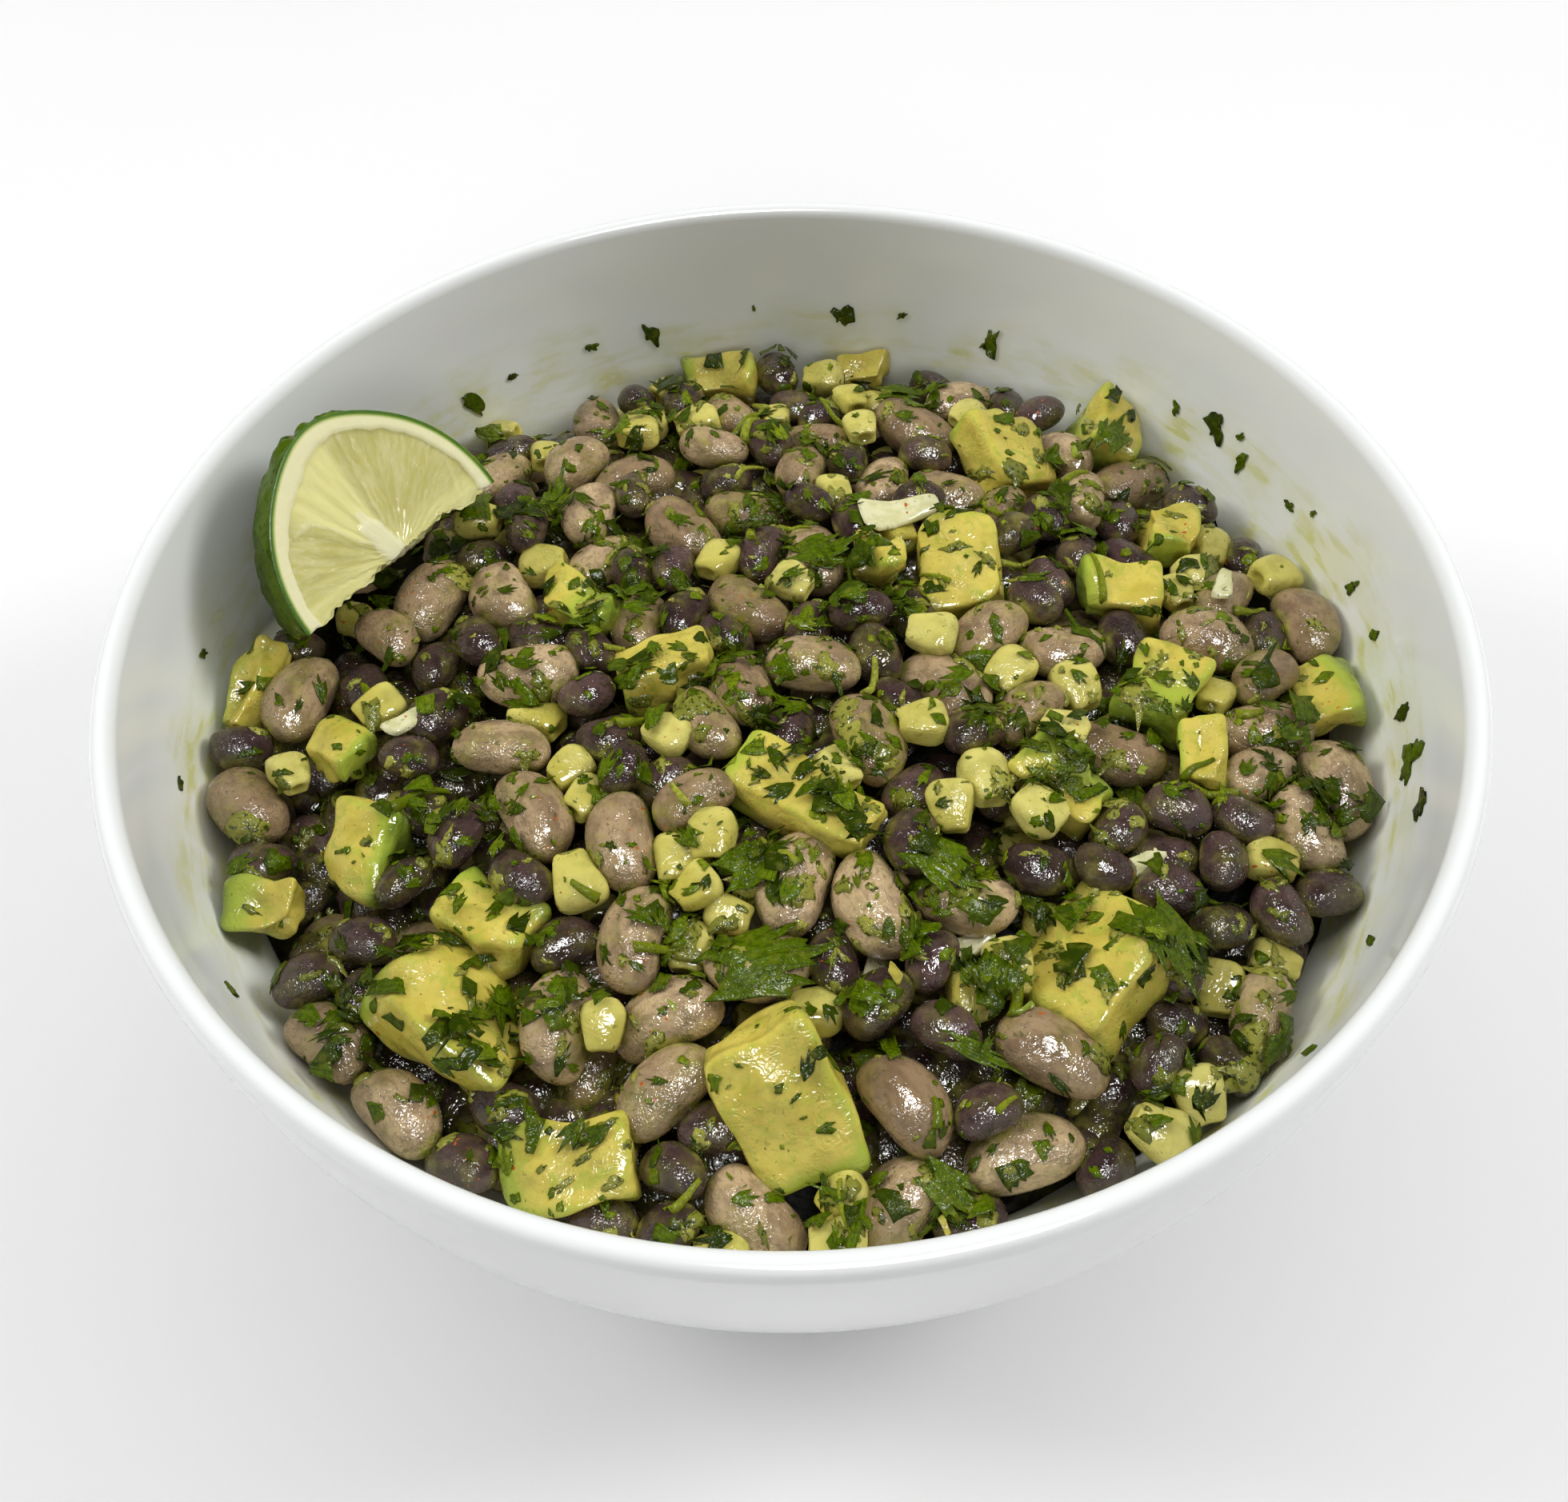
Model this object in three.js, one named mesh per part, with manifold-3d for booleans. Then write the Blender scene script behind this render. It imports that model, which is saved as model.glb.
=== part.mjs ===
// Avocado, black bean, pinto bean and sweetcorn salad in a round white bowl, with a lime wedge.
// Millimetres, +Z up, -Y is the front. The origin is the centre of the foot ring's underside.
import * as THREE from 'three';
import { ConvexGeometry } from 'three/addons/geometries/ConvexGeometry.js';
import { mergeVertices } from 'three/addons/utils/BufferGeometryUtils.js';
import Module from 'manifold-3d';

const wasm = await Module();
wasm.setup();

// The bowl. Its walls are superellipses hung from the widest circle of the rim.
const RIM_RADIUS = 120;
const RIM_HEIGHT = 79.5;
const RIM_CROWN = 2.5;
const WALL_THICKNESS = 4.4;
const OUTER_DEPTH = 78;
const INNER_DEPTH = 73;
const WALL_EXPONENT = 3.1;
const FOOT_OUTER_RADIUS = 62;
const FOOT_INNER_RADIUS = 56;
const BOWL_SIDES = 48;
const INNER_RADIUS = RIM_RADIUS - WALL_THICKNESS;

// The salad's upper surface, as heights above the foot.
const MIDDLE_LEVEL = 61.5;
const WALL_LEVEL = 47.5;
const BACK_RISE = 5.5;
const SIDES_RISE = 5;
const SURFACE_REACH = 113;

// The core under the pieces, and the gaps that keep it off the bowl and the lime.
const CORE_DROP = 5.5;
const CORE_SIDES = 40;
const WALL_STEPS = 8;
const WALL_GAP = 0.5;
const LIME_GAP = 0.5;

// Kinds of small piece: length, width and thickness, how far a size may vary, how many lie in the
// surface, and how many of those are fused to the core. The others only hold their places.
const PINTO = { name: 'pinto', size: [18.4, 11.8, 9.8], spread: 0.13, count: 66, fused: 58 };
const BLACK = { name: 'black', size: [12.6, 9.2, 8], spread: 0.1, count: 98, fused: 34 };
const CORN = { name: 'corn', size: [10.6, 8.6, 6.4], spread: 0.12, count: 56, fused: 22 };

// The cubes of avocado, each where the salad shows it: place, turn, pitch and size.
const AVOCADO_CHUNKS = [
  { at: [-2, -78], turn: 94, pitch: 24, size: [31, 21, 14] },
  { at: [-57, -61], turn: 112, pitch: 20, size: [30, 22, 15] },
  { at: [52, -57], turn: 12, pitch: 8, size: [28, 23, 14] },
  { at: [2, -28], turn: -44, pitch: 4, size: [33, 14, 11] },
  { at: [50, 68], turn: 98, pitch: 18, size: [25, 19, 14] },
  { at: [36, 29], turn: 96, pitch: 16, size: [25, 19, 13] },
  { at: [-24, 5], turn: -12, pitch: 4, size: [22, 15, 12] },
  { at: [-38, -88], turn: -14, pitch: 4, size: [24, 16, 11] },
  { at: [-104, 6], turn: 82, pitch: 10, size: [23, 10, 11] },
  { at: [-78, -32], turn: 76, pitch: 14, size: [19, 15, 13] },
  { at: [-53, -46], turn: -28, pitch: 0, size: [19, 15, 13] },
  { at: [-86, -12], turn: 20, pitch: 5, size: [14, 12, 11] },
  { at: [-95, -42], turn: 8, pitch: 4, size: [16, 12, 10] },
  { at: [-14, 103], turn: -12, pitch: 8, size: [19, 14, 12] },
  { at: [20, 104], turn: 10, pitch: 8, size: [14, 11, 10] },
  { at: [76, 80], turn: -8, pitch: 8, size: [20, 16, 12] },
  { at: [20, 33], turn: 50, pitch: 5, size: [12, 11, 10] },
  { at: [81, 41], turn: -52, pitch: 5, size: [16, 13, 11] },
  { at: [68, 24], turn: 6, pitch: 6, size: [19, 14, 11] },
  { at: [-41, 23], turn: -62, pitch: 5, size: [20, 12, 11] },
  { at: [104, -2], turn: -62, pitch: 8, size: [17, 14, 12] },
  { at: [73, -2], turn: 20, pitch: 6, size: [19, 16, 12] },
  { at: [77, -17], turn: 94, pitch: 6, size: [17, 10, 10] },
  { at: [48, -25], turn: 100, pitch: 8, size: [20, 13, 11] },
];

// Beans and kernels that stand out, as x, y and turn. The rest are spread by rule.
const PINTO_PLACES = [
  [-40, 50, 100], [-46, 68, 8], [-15, 73, 150], [64, 52, 60], [-80, 17, -35], [-97, 4, 58],
  [-103, -19, 170], [-54, -13, -10], [-46, -27, -66], [-31, -34, 78], [-28, -52, 95],
  [-15, -10, 98], [-18, -27, -8], [5, 4, 0], [16, -13, -62], [13, -48, 96], [-42, -66, 76],
  [-23, -77, 86], [-68, -79, -55], [-80, -66, 10], [43, -72, -28], [79, -66, 88],
  [103, -22, -28], [95, -32, 68], [104, 17, -74], [94, 0, -4], [84, 11, -40], [17, -81, -60],
];
const BLACK_PLACES = [
  [70, -30, 20], [76, -39, -50], [66, -45, 12], [87, -48, 80], [96, -44, 60], [-71, -14, 8],
  [-67, -5, 60], [-61, -31, 85], [-49, -42, 70], [-85, -56, 40], [-76, -51, -30],
  [15, 16, 70], [5, 49, -20], [-54, 44, 80], [-30, -20, -60], [25, -69, -5], [31, -83, 85],
];
const CORN_PLACES = [
  [-33, 78, 10], [-79, -2, 30], [-94, -16, 80], [-37, -41, 20], [-23, -13, -10], [-15, -35, 60],
  [-18, -44, -20], [-32, -68, 100], [24, -12, 30], [28, 10, -20], [45, -29, 10], [35, -24, 80],
  [18, 76, 90], [16, 88, 110], [10, 100, 15], [59, -85, -20], [67, -80, 60], [5, -101, 0],
];

// Leaves of coriander: place, turn, length and width.
const LEAVES = [
  { at: [-3, -58], turn: 160, size: [22, 15] },
  { at: [-6, -40], turn: 30, size: [15, 11] },
  { at: [28, -43], turn: -30, size: [15, 12] },
  { at: [64, -58], turn: -70, size: [20, 12] },
  { at: [9, 33], turn: 10, size: [17, 12] },
  { at: [25, -95], turn: -35, size: [13, 9] },
  { at: [31, -75], turn: -20, size: [15, 4] },
  { at: [-49, 57], turn: 80, size: [17, 7] },
  { at: [30, 90], turn: 0, size: [14, 10] },
  { at: [74, 70], turn: 60, size: [13, 9] },
];
const LEAF_THICKNESS = 0.9;
const LEAF_WAVE = 1.3;

// The lime: the stem end of a lime, halved along its core and cut off square near its equator.
const LIME_RADIUS = 26.5;
const LIME_LENGTH = 29.5;
const LIME_NIPPLE = 2;
const LIME_CENTRE = [-78.5, 31.5, 60];
const LIME_FACE_OFFSET = 4;
const LIME_AZIMUTH = -37;
const LIME_LEAN = 36;
const LIME_SIDES = 30;

// How the pieces settle against each other.
const SETTLE_STEPS = 160;
const SETTLE_SHARE = 0.45;
const SPREAD_TRIES = 14;
const ELBOW_ROOM = 1.3;
const SNUG = 0.95;
const SURFACE_PULL = 0.12;
const HOME_PULL = 0.2;
const MOST_PITCH = 30;
const MOST_ROLL = 40;
const MOST_SINK = 4;
const SEED = 20260;

const COLOURS = {
  bowl: 0xf0f1ee,
  salad: 0x8a8355,
  lime_wedge: 0x6f9a3c,
};

// A repeatable stream of numbers from 0 to 1.
function seededDraw(seed) {
  let state = seed;
  return () => {
    state = (state * 1664525 + 1013904223) % 4294967296;
    return state / 4294967296;
  };
}

// A closed solid from a geometry whose shared vertices are merged.
function solidFrom(geometry) {
  const bare = geometry.clone();
  bare.deleteAttribute('normal');
  bare.deleteAttribute('uv');
  const merged = mergeVertices(bare, 1e-4);
  return new wasm.Manifold(
    new wasm.Mesh({
      numProp: 3,
      vertProperties: new Float32Array(merged.attributes.position.array),
      triVerts: new Uint32Array(merged.index.array),
    }),
  );
}

// The geometry of a solid, ready for a mesh.
function geometryFrom(solid) {
  const mesh = solid.getMesh();
  const geometry = new THREE.BufferGeometry();
  geometry.setAttribute('position', new THREE.BufferAttribute(mesh.vertProperties, 3));
  geometry.setIndex(new THREE.BufferAttribute(mesh.triVerts, 1));
  geometry.computeVertexNormals();
  return geometry;
}

// Radius of a superellipse wall at a height, hung from the rim's widest circle.
function wallRadius(height, radius, depth) {
  const drop = THREE.MathUtils.clamp((RIM_HEIGHT - height) / depth, 0, 1);
  return radius * (1 - drop ** WALL_EXPONENT) ** (1 / WALL_EXPONENT);
}

// Points of a superellipse wall from its lowest point to the widest circle.
function wallProfile(radius, depth, steps) {
  const points = [];
  for (let i = 0; i <= steps; i += 1) {
    const angle = ((Math.PI / 2) * i) / steps;
    const across = Math.sin(angle) ** (2 / WALL_EXPONENT);
    const down = Math.max(0, Math.cos(angle)) ** (2 / WALL_EXPONENT);
    points.push(new THREE.Vector2(radius * across, RIM_HEIGHT - depth * down));
  }
  return points;
}

// A lathe about +Z.
function spun(points, sides) {
  return new THREE.LatheGeometry(points, sides).rotateX(Math.PI / 2);
}

function bowlGeometry() {
  const outer = wallProfile(RIM_RADIUS, OUTER_DEPTH, 11);
  const inner = wallProfile(INNER_RADIUS, INNER_DEPTH, WALL_STEPS).reverse();
  const underside = outer.filter((point) => point.x < FOOT_INNER_RADIUS);
  const side = outer.filter((point) => point.x > FOOT_OUTER_RADIUS + 2);
  const heightAt = (radius) =>
    RIM_HEIGHT - OUTER_DEPTH * (1 - (radius / RIM_RADIUS) ** WALL_EXPONENT) ** (1 / WALL_EXPONENT);
  const foot = [
    new THREE.Vector2(FOOT_INNER_RADIUS, heightAt(FOOT_INNER_RADIUS)),
    new THREE.Vector2(FOOT_INNER_RADIUS + 1, 0),
    new THREE.Vector2(FOOT_OUTER_RADIUS - 1, 0),
    new THREE.Vector2(FOOT_OUTER_RADIUS, heightAt(FOOT_OUTER_RADIUS)),
  ];
  const rim = [0.25, 0.5, 0.75].map((share) => {
    const angle = Math.PI * share;
    const middle = (RIM_RADIUS + INNER_RADIUS) / 2;
    return new THREE.Vector2(
      middle + (WALL_THICKNESS / 2) * Math.cos(angle),
      RIM_HEIGHT + RIM_CROWN * Math.sin(angle),
    );
  });
  return spun([...underside, ...foot, ...side, ...rim, ...inner], BOWL_SIDES);
}

// Height of the salad's upper surface over a point of the plan.
function surfaceHeight(x, y) {
  const azimuth = Math.atan2(y, x);
  const atWall = WALL_LEVEL + BACK_RISE * Math.sin(azimuth) + SIDES_RISE * Math.cos(2 * azimuth);
  const share = Math.min(1, (x * x + y * y) / (SURFACE_REACH * SURFACE_REACH));
  return MIDDLE_LEVEL + (atWall - MIDDLE_LEVEL) * share;
}

// The space inside the bowl, less a gap, as one closed lathe that rises past the rim.
function cavitySolid() {
  const wall = wallProfile(INNER_RADIUS - WALL_GAP, INNER_DEPTH - WALL_GAP, WALL_STEPS);
  const top = RIM_HEIGHT + RIM_RADIUS / 3;
  const lid = [new THREE.Vector2(INNER_RADIUS - WALL_GAP, top), new THREE.Vector2(0, top)];
  return solidFrom(spun([...wall, ...lid], BOWL_SIDES));
}

// The core: the cavity filled to a little below the surface.
function coreSolid() {
  const rings = 7;
  const floor = 20;
  const profile = [new THREE.Vector2(0, floor)];
  profile.push(new THREE.Vector2(RIM_RADIUS, floor));
  for (let ring = rings; ring >= 0; ring -= 1) {
    profile.push(new THREE.Vector2((RIM_RADIUS * ring) / rings, RIM_HEIGHT));
  }
  const block = spun(profile, CORE_SIDES);
  const places = block.attributes.position;
  for (let i = 0; i < places.count; i += 1) {
    if (places.getZ(i) > floor + 1) {
      places.setZ(i, surfaceHeight(places.getX(i), places.getY(i)) - CORE_DROP);
    }
  }
  const upper = solidFrom(block);
  const below = spun(
    [new THREE.Vector2(0, 0), new THREE.Vector2(RIM_RADIUS, 0), new THREE.Vector2(RIM_RADIUS, floor),
      new THREE.Vector2(0, floor)],
    CORE_SIDES,
  );
  return upper.add(solidFrom(below));
}

// The lime's own directions: out of the cut face, towards the stem, and across.
function limeFrame() {
  const azimuth = THREE.MathUtils.degToRad(LIME_AZIMUTH);
  const lean = THREE.MathUtils.degToRad(LIME_LEAN);
  const face = new THREE.Vector3(
    Math.cos(lean) * Math.cos(azimuth),
    Math.cos(lean) * Math.sin(azimuth),
    Math.sin(lean),
  );
  const across = new THREE.Vector3(-Math.sin(azimuth), Math.cos(azimuth), 0);
  const stem = new THREE.Vector3().crossVectors(face, across);
  return { face, across, stem };
}

// The lime, grown by a gap where it is used to clear the salad.
function limeSolid(gap) {
  const profile = [];
  const steps = 12;
  for (let i = 0; i <= steps; i += 1) {
    const angle = -Math.PI / 2 + (Math.PI * i) / steps;
    const tip = LIME_NIPPLE * Math.max(0, Math.sin(angle)) ** 12;
    profile.push(
      new THREE.Vector2((LIME_RADIUS + gap) * Math.cos(angle), (LIME_LENGTH + gap) * Math.sin(angle) + tip),
    );
  }
  const whole = solidFrom(new THREE.LatheGeometry(profile, LIME_SIDES));
  const span = 4 * LIME_RADIUS;
  const behindFace = new THREE.BoxGeometry(span, span, span);
  behindFace.translate(LIME_FACE_OFFSET + gap - span / 2, 0, 0);
  const stemHalf = new THREE.BoxGeometry(span, span, span);
  stemHalf.translate(0, span / 2 - gap, 0);
  const wedge = whole.intersect(solidFrom(behindFace)).intersect(solidFrom(stemHalf));
  const { face, across, stem } = limeFrame();
  const pose = new THREE.Matrix4().makeBasis(face, stem, across.clone().negate());
  pose.setPosition(...LIME_CENTRE);
  return solidFrom(geometryFrom(wedge).applyMatrix4(pose));
}

// Fixed balls that stand for the lime while the pieces settle.
function limeBalls() {
  const { face, across, stem } = limeFrame();
  const balls = [];
  for (const share of [-0.6, -0.2, 0.2, 0.6]) {
    for (const rise of [0.25, 0.6]) {
      const middle = new THREE.Vector3(...LIME_CENTRE)
        .addScaledVector(across, LIME_RADIUS * share * (1 - rise * 0.4))
        .addScaledVector(stem, LIME_LENGTH * rise)
        .addScaledVector(face, LIME_FACE_OFFSET - LIME_RADIUS * 0.4);
      balls.push({ middle, radius: LIME_RADIUS * 0.4 });
    }
  }
  return balls;
}

// One loose piece: two balls on its long axis stand for it while it settles. The roll turns it about
// that axis, and the sink is how far it lies below the surface.
function loosePiece(kind, size, [x, y], { turn, pitch, roll, sink }, held, fused) {
  const radius = (size[1] + size[2]) / 4;
  const reach = Math.max(0.5, size[0] / 2 - radius);
  const heading = THREE.MathUtils.degToRad(turn);
  const rise = THREE.MathUtils.degToRad(pitch);
  const along = new THREE.Vector3(
    Math.cos(rise) * Math.cos(heading),
    Math.cos(rise) * Math.sin(heading),
    Math.sin(rise),
  );
  const climb = reach * Math.sin(Math.abs(rise));
  const middle = new THREE.Vector3(x, y, surfaceHeight(x, y) - radius - sink + climb);
  return {
    kind,
    size,
    roll,
    radius,
    reach,
    held,
    fused,
    home: [x, y],
    lift: [-1, 1].map((way) => way * reach * Math.sin(rise) + climb - sink),
    ends: [
      middle.clone().addScaledVector(along, -reach),
      middle.clone().addScaledVector(along, reach),
    ],
  };
}

// All the showing pieces before they settle: the placed ones, then the spread ones, largest first.
function placePieces(draw) {
  const pieces = AVOCADO_CHUNKS.map(({ at, turn, pitch, size }) =>
    loosePiece('avocado', size, at, { turn, pitch, roll: rolled(draw), sink: 0 }, true, true),
  );
  const placed = { pinto: PINTO_PLACES, black: BLACK_PLACES, corn: CORN_PLACES };
  const balls = limeBalls();
  for (const kind of [PINTO, BLACK, CORN]) {
    for (const [x, y, turn] of placed[kind.name]) {
      const size = sized(kind, draw);
      const pose = { turn, pitch: 0, roll: rolled(draw), sink: 0 };
      pieces.push(loosePiece(kind.name, size, [x, y], pose, true, true));
    }
  }
  for (const kind of [PINTO, BLACK, CORN]) {
    for (let i = placed[kind.name].length; i < kind.count; i += 1) {
      const size = sized(kind, draw);
      let best = null;
      for (let tries = 0; tries < SPREAD_TRIES; tries += 1) {
        const ring = Math.sqrt(draw()) * (INNER_RADIUS - size[1]);
        const azimuth = draw() * 2 * Math.PI;
        const spot = [ring * Math.cos(azimuth), ring * Math.sin(azimuth)];
        const farFrom = (x, y) => Math.hypot(spot[0] - x, spot[1] - y);
        const room = Math.min(
          ...pieces.map((other) => farFrom(...other.home) - other.radius * ELBOW_ROOM),
          ...balls.map(({ middle, radius }) => farFrom(middle.x, middle.y) - radius),
        );
        if (!best || room > best.room) best = { spot, room };
      }
      const pose = {
        turn: draw() * 180,
        pitch: (draw() - 0.5) * MOST_PITCH,
        roll: rolled(draw),
        sink: draw() * MOST_SINK,
      };
      pieces.push(loosePiece(kind.name, size, best.spot, pose, false, i < kind.fused));
    }
  }
  return pieces;
}

// A small roll about a piece's long axis, in degrees.
function rolled(draw) {
  return (draw() - 0.5) * MOST_ROLL;
}

// A kind's size with its natural variation.
function sized(kind, draw) {
  const scale = 1 + (draw() * 2 - 1) * kind.spread;
  return kind.size.map((length) => length * scale);
}

// Pushes overlapping pieces apart while each is drawn to the surface and kept off the wall.
function settle(pieces) {
  const balls = limeBalls();
  const spots = pieces.flatMap((piece, index) =>
    piece.ends.map((point, end) => ({ point, piece, index, end, push: new THREE.Vector3(), hits: 0 })),
  );
  const gap = new THREE.Vector3();
  for (let step = 0; step < SETTLE_STEPS; step += 1) {
    for (const spot of spots) {
      spot.push.set(0, 0, 0);
      spot.hits = 0;
    }
    for (let i = 0; i < spots.length; i += 1) {
      for (let j = i + 1; j < spots.length; j += 1) {
        const first = spots[i];
        const second = spots[j];
        if (first.index === second.index) continue;
        const reach = (first.piece.radius + second.piece.radius) * SNUG;
        gap.subVectors(first.point, second.point);
        const far = gap.length();
        if (far >= reach || far < 1e-6) continue;
        gap.multiplyScalar((reach - far) / far / 2);
        first.push.add(gap);
        second.push.sub(gap);
        first.hits += 1;
        second.hits += 1;
      }
    }
    for (const spot of spots) {
      for (const { middle, radius } of balls) {
        gap.subVectors(spot.point, middle);
        const far = gap.length();
        const reach = spot.piece.radius + radius;
        if (far < reach && far > 1e-6) {
          spot.push.addScaledVector(gap, (reach - far) / far);
          spot.hits += 1;
        }
      }
      if (spot.hits) spot.point.addScaledVector(spot.push, SETTLE_SHARE * (spot.hits > 2 ? 2 / spot.hits : 1));
      const { radius, lift, held, home, reach } = spot.piece;
      const wanted = surfaceHeight(spot.point.x, spot.point.y) - radius + lift[spot.end];
      spot.point.z += (wanted - spot.point.z) * SURFACE_PULL;
      const ring = Math.hypot(spot.point.x, spot.point.y);
      const limit = wallRadius(spot.point.z, INNER_RADIUS, INNER_DEPTH) - radius - WALL_GAP;
      if (ring > limit) {
        spot.point.x *= limit / ring;
        spot.point.y *= limit / ring;
      }
      if (held) {
        const away = [spot.point.x - home[0], spot.point.y - home[1]];
        const far = Math.hypot(...away);
        if (far > reach) {
          spot.point.x -= (away[0] * (far - reach) * HOME_PULL) / far;
          spot.point.y -= (away[1] * (far - reach) * HOME_PULL) / far;
        }
      }
    }
    for (const { ends, reach } of pieces) {
      gap.subVectors(ends[1], ends[0]);
      const far = gap.length() || 1;
      gap.multiplyScalar((far - 2 * reach) / far / 2);
      ends[0].add(gap);
      ends[1].sub(gap);
    }
  }
}

// A kidney-shaped bean of few sides.
function beanGeometry([length, width, thickness], sides, rings) {
  const bean = new THREE.SphereGeometry(1, sides, rings).rotateZ(Math.PI / 2);
  const places = bean.attributes.position;
  for (let i = 0; i < places.count; i += 1) {
    const along = places.getX(i);
    const dent = 0.12 * (1 - 2 * along * along);
    places.setXYZ(
      i,
      (along * length) / 2,
      ((places.getY(i) + dent) * width) / 2,
      (places.getZ(i) * thickness) / 2,
    );
  }
  return bean;
}

// A kernel of corn: a crown that narrows to the cut end.
function kernelGeometry([length, width, thickness]) {
  const kernel = new THREE.CylinderGeometry(0.62, 0.92, 1, 6, 1).rotateZ(Math.PI / 2);
  kernel.scale(length * 0.8, width / 1.84, thickness / 1.6);
  const crown = new THREE.Vector3(length * 0.52, 0, 0);
  const places = kernel.attributes.position;
  for (let i = 0; i < places.count; i += 1) {
    if (Math.hypot(places.getY(i), places.getZ(i)) < 1e-6 && places.getX(i) > 0) {
      places.setXYZ(i, crown.x, crown.y, crown.z);
    }
  }
  return kernel;
}

// A cube of avocado with its corners worn off, uneven by a seeded draw.
function chunkGeometry([length, width, thickness], draw) {
  const points = [];
  for (const sx of [-1, 1]) {
    for (const sy of [-1, 1]) {
      for (const sz of [-1, 1]) {
        const wear = 0.24 + 0.12 * draw();
        const shift = [draw(), draw(), draw()].map((value) => 1 - 0.16 * value);
        const corner = [sx * shift[0], sy * shift[1], sz * shift[2]];
        for (const side of [0, 1, 2]) {
          const point = corner.map((value, axis) => (axis === side ? value * (1 - wear) : value));
          points.push(
            new THREE.Vector3((point[0] * length) / 2, (point[1] * width) / 2, (point[2] * thickness) / 2),
          );
        }
      }
    }
  }
  return new ConvexGeometry(points);
}

// A thin wavy leaf: both faces share one grid, so they are split into triangles alike.
function leafGeometry([length, width], draw) {
  const columns = 6;
  const rows = 3;
  const phase = draw() * 2 * Math.PI;
  const places = [];
  for (const side of [1, -1]) {
    for (let i = 0; i <= columns; i += 1) {
      const along = i / columns;
      const lobe = i % 2 ? 1 : 0.72;
      const half = (width / 2) * lobe * Math.sin(Math.PI * (0.12 + 0.8 * along)) ** 0.6;
      for (let j = 0; j <= rows; j += 1) {
        const across = (2 * j) / rows - 1;
        const wave = LEAF_WAVE * Math.sin(along * 7 + phase) * (0.4 + Math.abs(across));
        places.push((along - 0.5) * length, across * half, wave + (side * LEAF_THICKNESS) / 2);
      }
    }
  }
  const index = [];
  const at = (side, i, j) => side * (columns + 1) * (rows + 1) + i * (rows + 1) + j;
  const quad = (a, b, c, d) => index.push(a, b, c, a, c, d);
  for (let i = 0; i < columns; i += 1) {
    for (let j = 0; j < rows; j += 1) {
      quad(at(0, i, j), at(0, i + 1, j), at(0, i + 1, j + 1), at(0, i, j + 1));
      index.push(at(1, i, j), at(1, i + 1, j + 1), at(1, i + 1, j));
      index.push(at(1, i, j), at(1, i, j + 1), at(1, i + 1, j + 1));
    }
    quad(at(1, i, 0), at(1, i + 1, 0), at(0, i + 1, 0), at(0, i, 0));
    quad(at(0, i, rows), at(0, i + 1, rows), at(1, i + 1, rows), at(1, i, rows));
  }
  for (let j = 0; j < rows; j += 1) {
    quad(at(0, 0, j), at(0, 0, j + 1), at(1, 0, j + 1), at(1, 0, j));
    quad(at(1, columns, j), at(1, columns, j + 1), at(0, columns, j + 1), at(0, columns, j));
  }
  const leaf = new THREE.BufferGeometry();
  leaf.setAttribute('position', new THREE.Float32BufferAttribute(places, 3));
  leaf.setIndex(index);
  return leaf;
}

// A piece's geometry, turned to lie along its settled axis.
function settledGeometry(piece, number) {
  const shapes = {
    avocado: () => chunkGeometry(piece.size, seededDraw(SEED + number)),
    pinto: () => beanGeometry(piece.size, 6, 4),
    black: () => beanGeometry(piece.size, 6, 3),
    corn: () => kernelGeometry(piece.size),
  };
  const along = new THREE.Vector3().subVectors(piece.ends[1], piece.ends[0]).normalize();
  const tilt = THREE.MathUtils.degToRad(piece.roll);
  const level = new THREE.Vector3(-along.y, along.x, 0).normalize();
  const up = new THREE.Vector3().crossVectors(along, level);
  const side = level.clone().multiplyScalar(Math.cos(tilt)).addScaledVector(up, Math.sin(tilt));
  const top = new THREE.Vector3().crossVectors(along, side);
  const pose = new THREE.Matrix4().makeBasis(along, side, top);
  pose.setPosition(piece.ends[0].clone().add(piece.ends[1]).multiplyScalar(0.5));
  return shapes[piece.kind]().applyMatrix4(pose);
}

// A leaf laid on the surface.
function laidLeaf({ at, turn, size }, draw) {
  const pose = new THREE.Matrix4().makeRotationZ(THREE.MathUtils.degToRad(turn));
  pose.setPosition(at[0], at[1], surfaceHeight(at[0], at[1]) - 0.6);
  return leafGeometry(size, draw).applyMatrix4(pose);
}

function saladSolid() {
  const draw = seededDraw(SEED);
  const pieces = placePieces(draw);
  settle(pieces);
  const parts = pieces
    .map((piece, number) => (piece.fused ? solidFrom(settledGeometry(piece, number)) : null))
    .filter((part) => part);
  const leaves = LEAVES.map((leaf, number) => solidFrom(laidLeaf(leaf, seededDraw(SEED - number))));
  const heap = [...parts, ...leaves].reduce((whole, part) => whole.add(part), coreSolid());
  const cleared = heap.intersect(cavitySolid()).subtract(limeSolid(LIME_GAP));
  const largestFirst = cleared.decompose().sort((a, b) => b.volume() - a.volume());
  return largestFirst[0];
}

function namedMesh(name, geometry, roughness) {
  const material = new THREE.MeshStandardMaterial({ color: COLOURS[name], roughness, metalness: 0 });
  const mesh = new THREE.Mesh(geometry, material);
  mesh.name = name;
  return mesh;
}

const served = new THREE.Group();
served.add(namedMesh('bowl', bowlGeometry(), 0.15));
served.add(namedMesh('salad', geometryFrom(saladSolid()), 0.45));
served.add(namedMesh('lime_wedge', geometryFrom(limeSolid(0)), 0.4));

export default served;
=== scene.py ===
"""An avocado, black bean, pinto bean and sweetcorn salad in its white bowl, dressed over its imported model.

Lengths are in millimetres until a mesh is made, when they become metres. The frame is the part's own:
+Z is up, the front is at -Y, and the origin is the centre of the foot ring's underside.
"""
from __future__ import annotations

import logging
import math
from dataclasses import dataclass, field
from enum import Enum
from itertools import product
from typing import Any

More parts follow.
